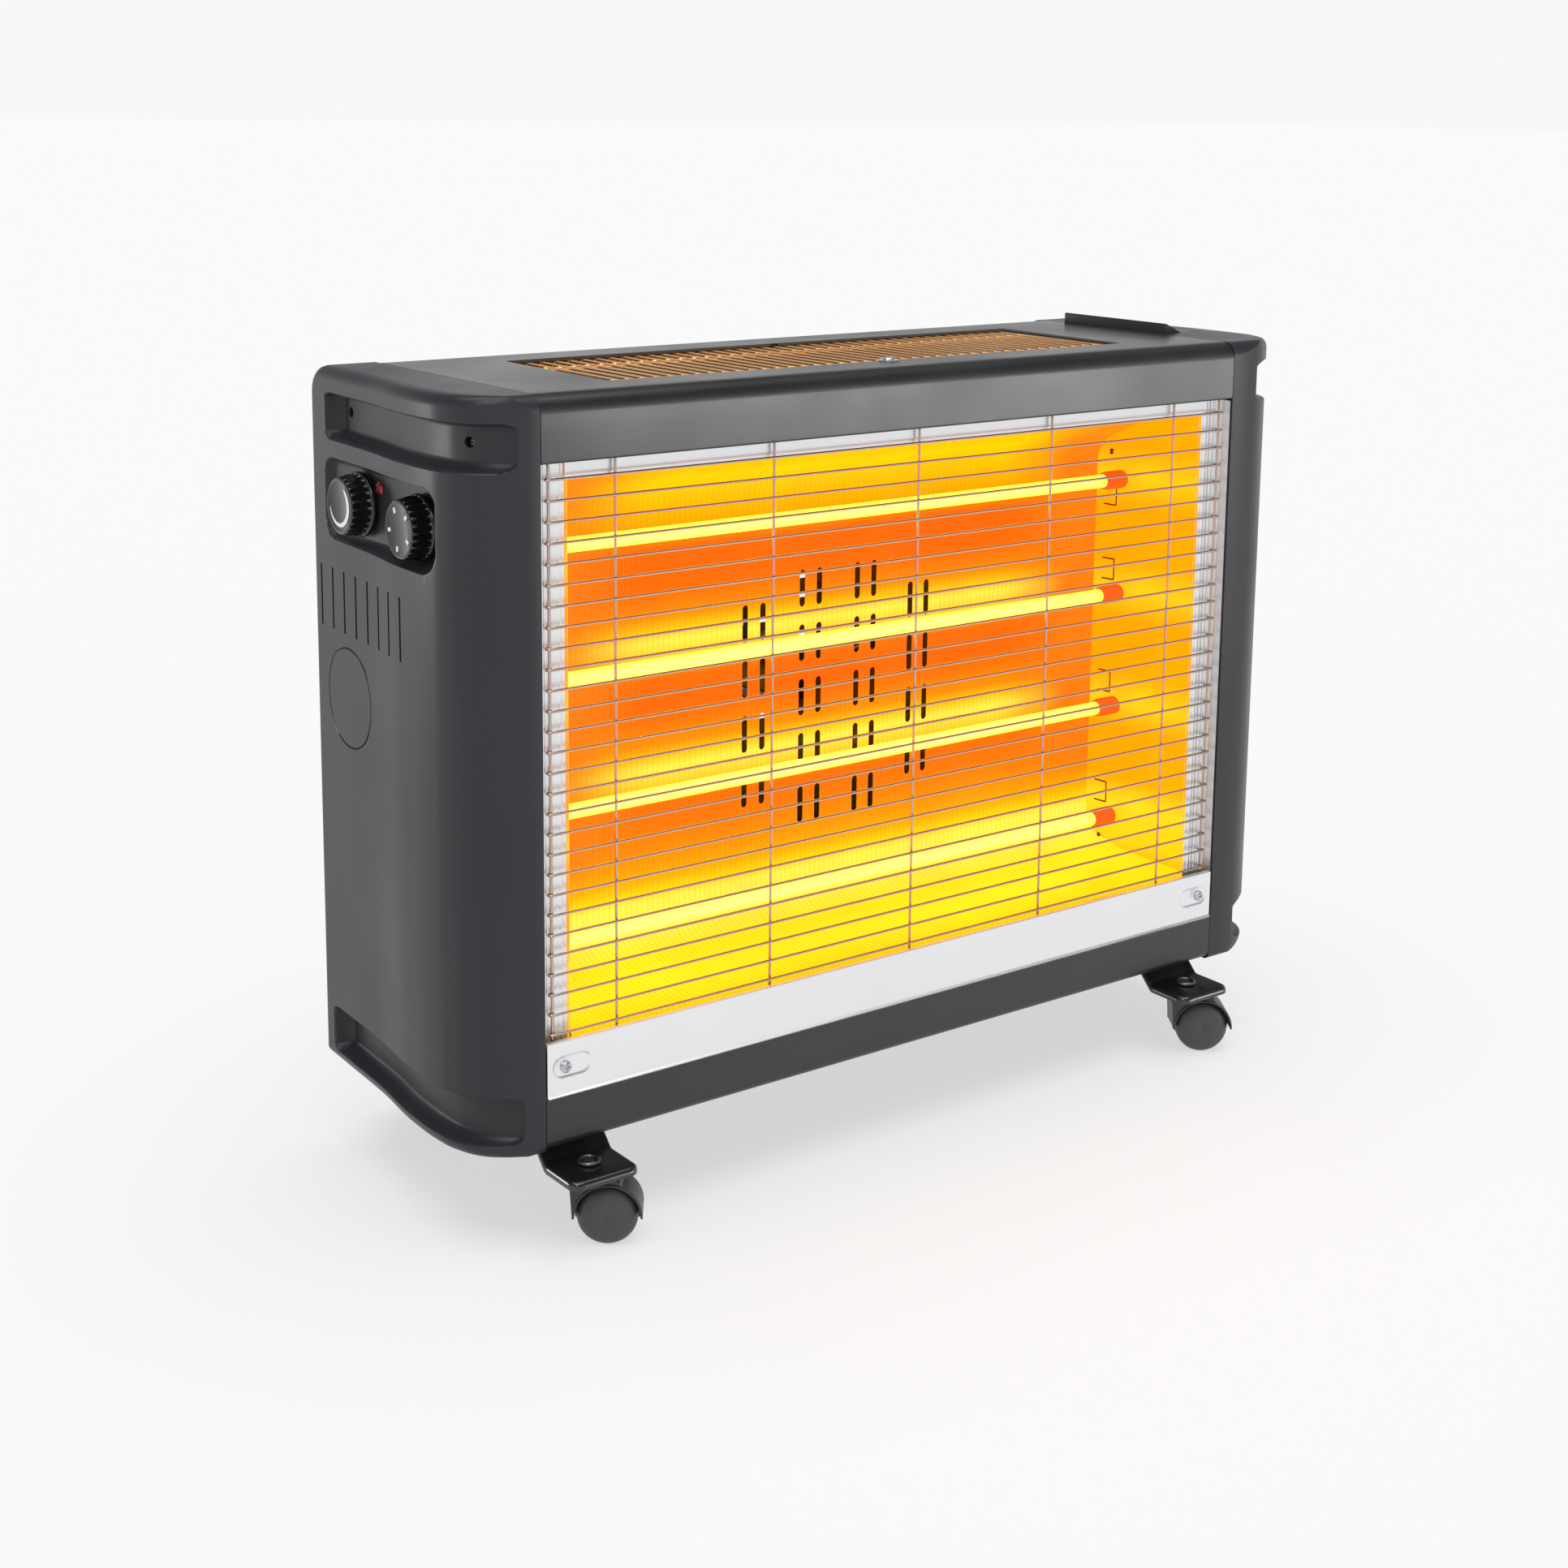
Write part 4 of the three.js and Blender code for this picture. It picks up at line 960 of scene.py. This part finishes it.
def build_flange(side):
    """The bright strip beside the opening: fine lengthwise rolls, and an edge turned forward."""
    across = np.linspace(0, 22.0, 60)
    us = FLANGE_X + across
    ys = 9.6 + 0.2 * np.sin(across * 1.7) + 0.3 * np.sin(across * 0.6 + 1)
    us = np.concatenate([us, [294.1, 294.5, 294.6, 294.6]])
    ys = np.concatenate([ys, [9.2, 8.2, 5.0, 1.6]])
    zs = np.array([127.0, 300, Z_FASCIA - 1.5])
    u, z = grid(us, zs)
    y = np.broadcast_to(ys[:, None], u.shape)
    return on_side(sheet(u, y, z, 0.4), side)


def build_tabs(side):
    """Painted shade: thin dark bars in the cuts round the lanced tabs beside the holders, and two short
    bars as the dark of the slots above and below.
    """
    parts = []
    for k, z in enumerate(TUBE_Z):
        middle = z + (17.5 if k < 3 else -13)
        for a, b in (((76, 8), (88, 8)), ((76, 8), (76, -8)), ((76, -8), (88, -8))):
            ends = []
            for y, dz in (a, b):
                ends.append((end_x(y) - TAB_OUT, y + 8, middle + dz))
            parts.append(bar(*ends, 0.6, 6))
    for z in (145, 449.5):
        x = end_x(83) - TAB_OUT
        parts.append(bar((x, 90, z - 2.2), (x, 90, z + 2.2), 1.3, 8))
    return on_side(merge(parts), side)


def build_lip():
    """The bright folded edge of the reflector under the front of the shell."""
    xs = np.linspace(-274, 274, 90)
    zs = np.array([486.6, 487.1, 488.0, 491, 494, 496.2])
    x, z = grid(xs, zs)
    y = 8.1 + 0.5 * ease((488.2 - z) / 1.6) + 0.08 * np.sin(x / 31)
    return sheet(x, y, z, 0.5)


piece("reflector_sheet", build_reflector(), BACK, nodes=["reflector"], angle=50)
piece("reflector_lip", build_lip(), BRIGHT)
for side, name in SIDES:
    piece(f"{name}_end_plate", build_end(side), END, nodes=[f"{name}_end_reflector"], angle=50)
    piece(f"{name}_flange_strip", build_flange(side), BRIGHT, angle=60)
    piece(f"{name}_end_tabs", build_tabs(side), GAP_SHADE)

# ---- tubes ----
TUBE_END, HOLDER_IN, HOLDER_OUT = 256.0, 244.0, 286.0


def build_coil(z):
    """The wound wire inside a tube."""
    turns, steps, radius, reach = 120, 9, 2.7, 240
    t = np.linspace(0, 1, turns * steps + 1)
    angle = t * turns * 2 * math.pi
    path = np.stack([-reach + 2 * reach * t, TUBE_Y + radius * np.cos(angle),
                     z + radius * np.sin(angle)], -1)
    return sweep(path, 0.55, 5)


def build_holder(z, side):
    """A turned ceramic cap on the end of a tube."""
    profile = [(0, HOLDER_IN), (5.4, HOLDER_IN), (6.4, HOLDER_IN + 1), (6.9, HOLDER_IN + 4), (6.9, 268),
               (9.4, 269), (10, 270), (10, 275), (9.4, 276), (7, 276.6), (7, 284.6), (6.2, 285.8),
               (2.2, HOLDER_OUT), (2.2, 289), (0, 289.2)]
    return on_side(turned("x", profile, TUBE_Y, z, 28), side)


for k, z in enumerate(TUBE_Z):
    number = k + 1
    glass = turned("x", [(TUBE_R - 1, -TUBE_END), (TUBE_R - 0.2, -TUBE_END), (TUBE_R, -TUBE_END + 0.6),
                         (TUBE_R, TUBE_END - 0.6), (TUBE_R - 0.2, TUBE_END), (TUBE_R - 1, TUBE_END)],
                   TUBE_Y, z, 32)
    piece(f"quartz_glass_{number}", glass, QUARTZ, nodes=[f"quartz_tube_{number}"])
    piece(f"glowing_coil_{number}", build_coil(z), COIL, nodes=[f"heating_coil_{number}"], angle=80)
    for side, name in SIDES:
        piece(f"ceramic_end_{number}_{name}", build_holder(z, side), PAINTED_GLOW_CERAMIC,
              nodes=[f"ceramic_holder_{number}_{name}"])

# ---- guard and grille ----
GUARD_LOW, GUARD_HIGH, GUARD_ROWS = 138.0, 487.0, 28
GUARD_Y, POST_Y, GUARD_R, POST_X = 3.4, 5.3, 0.9, 287.3
POST_LOW, POST_HIGH = 112, 508


def build_guard():
    """The wires across, hooked round the outer posts, and the upright wires behind them."""
    parts = []
    for k in range(GUARD_ROWS):
        z = GUARD_LOW + (GUARD_HIGH - GUARD_LOW) * k / (GUARD_ROWS - 1)
        hook = []
        for a in np.linspace(0, 1.35 * math.pi, 9):
            hook.append((POST_X + 2.2 * math.sin(a), POST_Y - 2.1 * math.cos(a), z))
        right = [(POST_X - 6, GUARD_Y, z), *hook]
        left = [(-x, y, zz) for x, y, zz in right[::-1]]
        parts.append(sweep(left + right, GUARD_R, 10))
    posts = [(x, GUARD_R, 10) for x in evenly(0, 240)]
    posts += [(x, GUARD_R * 1.15, 12) for x in (-POST_X, POST_X)]
    for x, radius, sides in posts:
        parts.append(bar((x, POST_Y, POST_LOW), (x, POST_Y, POST_HIGH), radius, sides))
    return merge(parts)


def build_grille():
    """The wires from front to rear, turned down at both ends, and two cross wires under them."""
    parts = []
    top = Z_TOP - 2.3
    for x in evenly(0, 215, 40):
        path = [(x, 41.5, top - 3.2), (x, 43, top - 1.2), (x, 45, top - 0.2), (x, 48, top), (x, 107, top),
                (x, 166, top), (x, 169, top - 0.2), (x, 171, top - 1.2), (x, 172.5, top - 3.2)]
        parts.append(sweep(path, 0.78, 10))
    for y in (66, 148):
        parts.append(bar((-222, y, Z_TOP - 4.4), (222, y, Z_TOP - 4.4), 1.25, 10))
    return merge(parts)


piece("guard_wires", build_guard(), CHROME, nodes=["front_guard"], angle=60)
piece("grille_wires", build_grille(), GRILLE_WIRE_GLOW, nodes=["top_grille"], angle=60)

# ---- controls ----
KNOB = {"floor": 334.0, "face": 350.0, "base_r": 21.0, "face_r": 18.0, "flutes": 24}


def build_knob(at):
    """A dial: a smooth skirt, a fluted grip and a face with a raised rim."""
    y, z = at
    f, top, br, fr = KNOB["floor"], KNOB["face"], KNOB["base_r"], KNOB["face_r"]
    profile = [(3.6, f + 11), (3.6, f), (br - 1, f), (br, f + 0.6), (br, f + 2.2), (br - 0.7, f + 3),
               (br - 0.9, f + 3.4), (br - 1.2, f + 7), (fr + 0.9, f + 11.4), (fr + 0.5, top - 1.6),
               (fr - 0.1, top - 0.6), (fr - 0.9, top - 0.1), (fr - 1.6, top), (fr - 2.1, top - 0.35),
               (0, top - 0.35)]

    def wobble(t, r, h):
        """The flutes, which fade out towards the face."""
        if not f + 3.2 < h < top - 0.8 or r < 10:
            return 0
        wave = 0.5 - 0.5 * math.cos(KNOB["flutes"] * t)
        return 1.5 * wave**0.6 * min(1, (top - h) / 3)

    part = turned("x", [(0, f + 11), *profile], y, z, KNOB["flutes"] * 8, wobble)
    return mirrored(part)


def face_mark(at, outline, thickness=0.35):
    """A printed mark on a knob's face; outline is (right, up) as seen from outside."""
    y, z = at
    flat = [(y - a, z + b) for a, b in outline]
    low = KNOB["face"] - 0.5
    return mirrored(slab(flat, "x", low, low + thickness))


def crescent():
    """A scale that starts thin, widens and ends thin again, round most of the face."""
    start, stop, count, radius = math.radians(62), math.radians(-172), 40, 13.4
    outer, inner = [], []
    for k in range(count + 1):
        t = k / count
        a = start + (stop - start) * t
        width = 2.9 * math.sin(math.pi * t**0.62) ** 0.8 + 0.35
        outer.append((radius * math.cos(a), radius * math.sin(a)))
        inner.append(((radius - width) * math.cos(a), (radius - width) * math.sin(a)))
    return outer + inner[::-1]


def dash(angle):
    """A short mark that points outwards from the middle of the face."""
    c, s = math.cos(math.radians(angle)), math.sin(math.radians(angle))
    radius, half_u, half_v = 12.4, 1.7, 1.15
    corners = [(-half_u, -half_v), (half_u, -half_v), (half_u, half_v), (-half_u, half_v)]
    return [(radius * c + u * c - v * s, radius * s + u * s + v * c) for u, v in corners]


for which in ("thermostat", "selector"):
    piece(f"{which}_knob_moulding", build_knob(KNOB_AT[which]), GLOSS, f"{which}_dial",
          nodes=[f"{which}_knob"], angle=45)
piece("thermostat_mark", face_mark(KNOB_AT["thermostat"], crescent()), MARK, "thermostat_dial")
dashes = merge([face_mark(KNOB_AT["selector"], dash(187 - 72 * k)) for k in range(5)])
piece("selector_marks", dashes, MARK, "selector_dial")

LENS_Y, LENS_Z = 135, 468
lens_profile = [(0, 325), (4.2, 325), (4.2, 332.4), (3.2, 333.6), (0, 334.4)]
lens_parts = [turned("x", lens_profile, LENS_Y, LENS_Z, 24)]
for z in (LENS_Z - 2, LENS_Z, LENS_Z + 2):
    lens_parts.append(bar((334.0, LENS_Y - 2.4, z), (334.0, LENS_Y + 2.4, z), 0.55, 8))
piece("red_lens_cap", mirrored(merge(lens_parts)), LENS, nodes=["indicator_lens"])


def build_screw(axis, u, v, base, out, radius, washer=0.0):
    """A pan head screw: out is +1 or -1, the way the head faces."""
    count, rings = 48, 10
    eu, ev, ew = (np.array(e, float) for e in BASIS[axis])
    grid = []
    for i in range(rings + 1):
        r = radius * i / rings
        row = []
        for j in range(count):
            a = 2 * math.pi * j / count
            lift = radius * 0.42 * math.sqrt(max(0, 1 - (r / radius) ** 2.6)) + 0.5
            arm = min(abs(r * math.cos(a)), abs(r * math.sin(a)))
            cross = (1 - float(ease((arm - radius * 0.08) / (radius * 0.1)))) * (r < radius * 0.6)
            row.append(eu * (u + r * math.cos(a)) + ev * (v + r * math.sin(a))
                       + ew * (base + out * (lift - cross * radius * 0.3)))
        row.append(row[0])
        grid.append(row)
    skirt = [[p + ew * (out * -radius * 0.5) for p in grid[-1]]]
    points, faces = grid_part(np.array(grid + skirt))
    parts = [(points, faces if out > 0 else [f[::-1] for f in faces])]
    if washer:
        parts.append(turned(axis, [(0, base - 0.3 * out), (washer, base - 0.3 * out),
                                   (washer, base + 0.5 * out), (0, base + 0.5 * out)], u, v, 32))
    return merge(parts)


for side, name in SIDES:
    piece(f"sill_screw_head_{name}", build_screw("y", SILL_SCREW[1], side * SILL_SCREW[0], -0.5, -1, 3.8),
          STEEL, nodes=[f"sill_screw_{name}"])
piece("grille_screw_head", build_screw("z", 0, 39.5, Z_TOP + 0.4, 1, 4.6, washer=7.4), STEEL,
      nodes=["grille_screw"])
for side, name in SIDES:
    heads = []
    for y, z in GRIP_HOLES:
        reach = float(cap_reach(name, np.array([float(y)]), np.array([float(z)]))[0])
        heads.append(build_screw("x", y, z, side * (reach - 3.4), side, 3.1))
    piece(f"{name}_cap_screws", merge(heads), ENAMEL)

# ---- lid ----
def build_lid():
    """A flat lid with a raised finger edge along its inner side."""
    x0, x1, y0, y1 = LID.values()
    run = [(x0, Z_TOP - 2.2), (x1, Z_TOP - 2.2), (x1, Z_TOP), (x0 + 19, Z_TOP), (x0 + 17, Z_TOP + 0.7),
           (x0 + 3, Z_TOP + 7.2), (x0 + 0.8, Z_TOP + 7.6), (x0, Z_TOP + 6.8)]
    return slab([(z, x) for x, z in run], "y", y0, y1)


def build_lid_seat():
    """The ledge that the lid lies on, with the way down to the tray in its middle."""
    x0, x1, y0, y1 = LID.values()
    loops = []
    for low, high, side, z in ((1.6, 1.6, 1.6, -2.9), (-3, -4, -5, -2.9), (-3, -4, -5, -8)):
        a, b, c, d = x0 - low, x1 + high, y0 - side, y1 + side
        loops.append([(a, c, z), (b, c, z), (b, d, z), (a, d, z), (a, c, z)])
    return thicken(grid_part(np.array(loops) + [0, 0, Z_TOP]), 0.8)


piece("lid_seat", build_lid_seat(), CAP)
piece("lid_moulding", build_lid(), CAP, "lid", nodes=["tray_lid"], bevel=0.7)

# ---- foot bars and castors ----
BAR = {"half": 25.0, "front": -27.0, "deck": 51.0, "middle": 63.2, "corner": 8.0, "edge": 3.2,
       "drop": 5.2, "wall": 1.8, "step": (8, 20), "bend": 4}


def build_foot_bar(side):
    """A pressed bar: a stepped deck with a rounded, turned-down rim all round."""
    front, far = BAR["front"], DEPTH - BAR["front"]
    (low, high), deck, middle, bend = BAR["step"], BAR["deck"], BAR["middle"], BAR["bend"]
    run = Run([(front, deck), (low, deck, bend), (high, middle, bend), (DEPTH - high, middle, bend),
               (DEPTH - low, deck, bend), (far, deck)])
    half, r, e = BAR["half"], BAR["corner"], BAR["edge"]
    xs = lines(-half, half, 4, [(-half, -half + 9, 0.8), (half - 9, half, 0.8)])
    ys = lines(front, far, 6, [(front, front + 9, 0.8), (far - 9, far, 0.8), (3, 26, 1.4),
                               (DEPTH - 26, DEPTH - 3, 1.4)])
    x, y = grid(xs, ys)
    for sign in (-1, 1):
        x, y = round_corner(x, y, (sign * half, front), (-sign, 1), r)
        x, y = round_corner(x, y, (sign * half, far), (-sign, -1), r)
    from_edge_x = half - np.abs(x)
    from_edge_y = (far - front) / 2 - np.abs(y - (front + far) / 2)
    px, py = np.maximum(r - from_edge_x, 0), np.maximum(r - from_edge_y, 0)
    d = np.where((px > 0) & (py > 0), r - np.hypot(px, py), np.minimum(from_edge_x, from_edge_y))
    inset = np.clip(e - np.maximum(d, 0), 0, e)
    z = np.interp(y, run.points[:, 0], run.points[:, 1]) - (e - np.sqrt(np.maximum(e * e - inset**2, 0)))
    skin = np.stack([x, y, z], -1)
    ring = outline_of(skin)
    ring = np.concatenate([ring, ring[:1]])
    wall = np.stack([ring - [0, 0, share * (BAR["drop"] - e)] for share in (0, 0.5, 1)])
    points, faces = weld(*merge([grid_part(skin), grid_part(wall)]))
    return thicken((points + [side * FOOT_X, 0, 0], faces), BAR["wall"])


def to_corner(part, corner):
    """Carries a castor part, built with its stem on the z axis, to its corner."""
    points, faces = part
    a = math.radians(-CASTOR_TURN)
    c, s = math.cos(a), math.sin(a)
    turn = np.array([[c, -s, 0], [s, c, 0], [0, 0, 1]])
    return points @ turn.T + [*STEMS[corner], 0], faces


def hood_arc(radius, past, count, turn=math.pi):
    """Points (z, x) over the wheel, round its axle, going past the level at both ends by an angle."""
    return [(WHEEL_R + radius * math.sin(a), TRAIL + radius * math.cos(a))
            for a in np.linspace(-past, turn + past, count)]


def build_hood():
    """The hood's shell, and what is on it: the web between the wheels, two lips and the stem."""
    inner, outer, half = 20.7, 22.4, 12.2
    shape = hood_arc(outer, 0, 9, 0.36 * math.pi)
    shape += [(43.5, TRAIL + 8), (47.0, TRAIL - 2), (48.2, -2), (48.2, -10), (46.8, -13.5), (38, -11.6),
              (28, -10.9), (WHEEL_R, TRAIL - outer)]
    body = slab(shape + hood_arc(inner, 0, 33)[::-1], "y", -half, half)
    trim = [slab(hood_arc(inner + 0.2, 0.2, 30), "y", -2.2, 2.2)]
    for y in (-half - 0.4, half + 0.4):
        trim.append(sweep([(x, y, z) for z, x in hood_arc(21.6, 0.02, 40)], 0.75, 8))
    trim.append(turned("z", [(0, 44), (4, 44), (4, 52.4), (3.4, 53), (0, 53)], 0, 0, 24))
    return body, merge(trim)


def build_wheel():
    """Twin discs on one axle, as one turned body with a groove in its middle."""
    r = WHEEL_R
    outer = [(0, 12.3), (1.6, 12.25), (2.6, 12.6), (3.4, 13.0), (9, 12.8), (14, 12.2), (r - 3, 11.0),
             (r - 1.4, 9.8), (r - 0.3, 8.0), (r, 6.2), (r, 3.6), (r - 0.5, 2.9), (3, 2.9)]
    profile = [(a, -b) for a, b in outer] + [(a, b) for a, b in outer[::-1]]
    return turned("y", profile, r, TRAIL, 64)


def build_ring(corner):
    """The nut that holds a castor's stem in the foot bar."""
    x, y = STEMS[corner]
    z = BAR["deck"]
    profile = [(4.7, z + 0.4), (7.0, z + 0.4), (7.7, z + 1.0), (7.7, z + 1.8), (6.9, z + 2.7),
               (5.9, z + 3.0), (5.1, z + 2.6), (4.7, z + 1.8)]
    return turned("z", profile, x, y, 40)


for side, name in SIDES:
    piece(f"foot_pressing_{name}", build_foot_bar(side), ENAMEL, nodes=[f"foot_bar_{name}"], angle=55)
for corner in STEMS:
    shell, trim = build_hood()
    piece(f"hood_shell_{corner}", to_corner(shell, corner), HOOD, f"castor_{corner}",
          nodes=[f"castor_hood_{corner}"], bevel=0.7)
    piece(f"hood_trim_{corner}", to_corner(trim, corner), HOOD, f"castor_{corner}")
    piece(f"wheel_disc_{corner}", to_corner(build_wheel(), corner), WHEEL, f"wheel_{corner}",
          nodes=[f"castor_wheel_{corner}"], angle=50)
    piece(f"chrome_ring_{corner}", build_ring(corner), NUT, nodes=[f"ring_nut_{corner}"], angle=60)

# ---- carried-over nodes ----
KEPT = {
    "rear_panel": PAINT, "left_side_panel": BRIGHT, "right_side_panel": BRIGHT, "water_tray": TRAY,
    "thermostat": STEEL, "selector_switch": GLOSS, "tilt_switch": GLOSS, "terminal_block": CERAMIC,
    "fan_motor": STEEL, "fan_impeller": GLOSS, "cable_bushing": GLOSS,
}
for name, look in KEPT.items():
    node = frame["nodes"][name]
    node.data.materials.clear()
    node.data.materials.append(look)
    soften(node, 0.3, 2, 40)

# ---- stage ----
FLOOR_TONE, FLOOR_GLOW = 0.38, 0.61
floor_nodes = finish("pale_floor", (FLOOR_TONE,) * 3 + (1,), 0.9, tone=0.0, spread=0.0, grain=4,
                     depth=0.01, strength=0.05, specular=0.0)
floor_nodes.lit((1, 1, 1, 1), FLOOR_GLOW)
SPAN = 60.0
floor_mesh = bpy.data.meshes.new("floor")
floor_mesh.from_pydata([(-SPAN, -SPAN, 0), (SPAN, -SPAN, 0), (SPAN, SPAN, 0), (-SPAN, SPAN, 0)], [],
                       [(0, 1, 2, 3)])
floor_mesh.materials.append(floor_nodes.mat)
floor = bpy.data.objects.new("floor", floor_mesh)
bpy.context.scene.collection.objects.link(floor)

# The room is pale along the horizon and darker overhead. The stops are by the height looked at.
SKY = [(0.12, (0.937, 0.937, 0.937, 1)), (0.3, (0.5, 0.5, 0.505, 1)), (0.65, (0.10, 0.10, 0.105, 1))]
world = bpy.data.worlds.new("studio")
world.use_nodes = True
sky = world.node_tree
where = sky.nodes.new("ShaderNodeTexCoord")
split = sky.nodes.new("ShaderNodeSeparateXYZ")
sky.links.new(where.outputs["Generated"], split.inputs["Vector"])
shade = sky.nodes.new("ShaderNodeValToRGB")
fill_ramp(shade, SKY)
sky.links.new(split.outputs["Z"], shade.inputs["Fac"])
sky.links.new(shade.outputs["Color"], sky.nodes["Background"].inputs["Color"])
bpy.context.scene.world = world


# The soft boxes mostly make highlights, and the sun and the sky give most of the even light.
SOFT_DIFFUSE = 0.3


def aimed(lamp, place, target):
    """Puts a lamp at a place, pointing at a target."""
    lamp.location = place
    lamp.rotation_mode = "QUATERNION"
    lamp.rotation_quaternion = (Vector(target) - Vector(place)).to_track_quat("-Z", "Y")
    bpy.context.scene.collection.objects.link(lamp)


def group_of(name, wanted):
    """The heater's pieces that a test accepts, as a collection that a light can be tied to."""
    group = bpy.data.collections.new(name)
    for obj in bpy.context.scene.objects:
        if obj.type == "MESH" and obj is not floor and wanted(obj):
            group.objects.link(obj)
    return group


def soft_light(name, place, target, size, power, group):
    """A soft box that lights one group of pieces and leaves the floor even."""
    data = bpy.data.lights.new(name, "AREA")
    data.shape = "RECTANGLE"
    data.size, data.size_y = size
    data.energy = power
    data.diffuse_factor = SOFT_DIFFUSE
    lamp = bpy.data.objects.new(name, data)
    lamp.visible_camera = False
    lamp.light_linking.receiver_collection = group
    aimed(lamp, place, target)


def has_look(obj, names):
    return any(look.name in names for look in obj.data.materials if look)


# The glow of the coils, tubes and red lens, and the painted glow on the reflector sheets, ceramic ends and
# grille wires, falls on the heater and not on the floor.
GLOWING = {look.name for look in (BACK, END, COIL, QUARTZ, PAINTED_GLOW_CERAMIC, GRILLE_WIRE_GLOW, LENS)}
DULL = {look.name for look in (CAP, PAINT, ENAMEL, WHEEL, HOOD)}
heater = group_of("heater", lambda obj: True)
painted = group_of("painted", lambda obj: has_look(obj, DULL))
for obj in heater.objects:
    if has_look(obj, GLOWING):
        obj.light_linking.receiver_collection = heater

MIDDLE = (0, 0, 0.3)
overhead = bpy.data.lights.new("overhead", "SUN")
overhead.energy = 2.2
overhead.angle = math.radians(65)
overhead.specular_factor = 0.0
aimed(bpy.data.objects.new("overhead", overhead), (-0.05, -0.1, 3.0), (0, 0, 0))
soft_light("front_box", (2.0, -2.6, 0.27), MIDDLE, (1.5, 0.5), 22, painted)
soft_light("side_box", (-2.0, 1.9, 0.27), MIDDLE, (0.5, 0.5), 8, painted)
soft_light("top_box", (-1.4, -1.2, 2.0), MIDDLE, (0.5, 0.9), 12, heater)

cam_data = bpy.data.cameras.new("camera")
cam_data.sensor_width = 36.0
cam_data.lens = 54.401
cam_data.shift_y = -0.1636
cam_data.clip_start, cam_data.clip_end = 0.05, 100
camera = bpy.data.objects.new("camera", cam_data)
RIGHT = Vector((0.8032, -0.59563, 0.00991))
UP = Vector((0.09829, 0.14892, 0.98395))
FORWARD = Vector((0.58755, 0.78933, -0.17815))
turn = Matrix((RIGHT, UP, -FORWARD)).transposed()
camera.matrix_world = Matrix.Translation((-1.0119, -1.3023, 0.7117)) @ turn.to_4x4()
bpy.context.scene.collection.objects.link(camera)
bpy.context.scene.camera = camera
bpy.context.scene.view_settings.view_transform = "Standard"
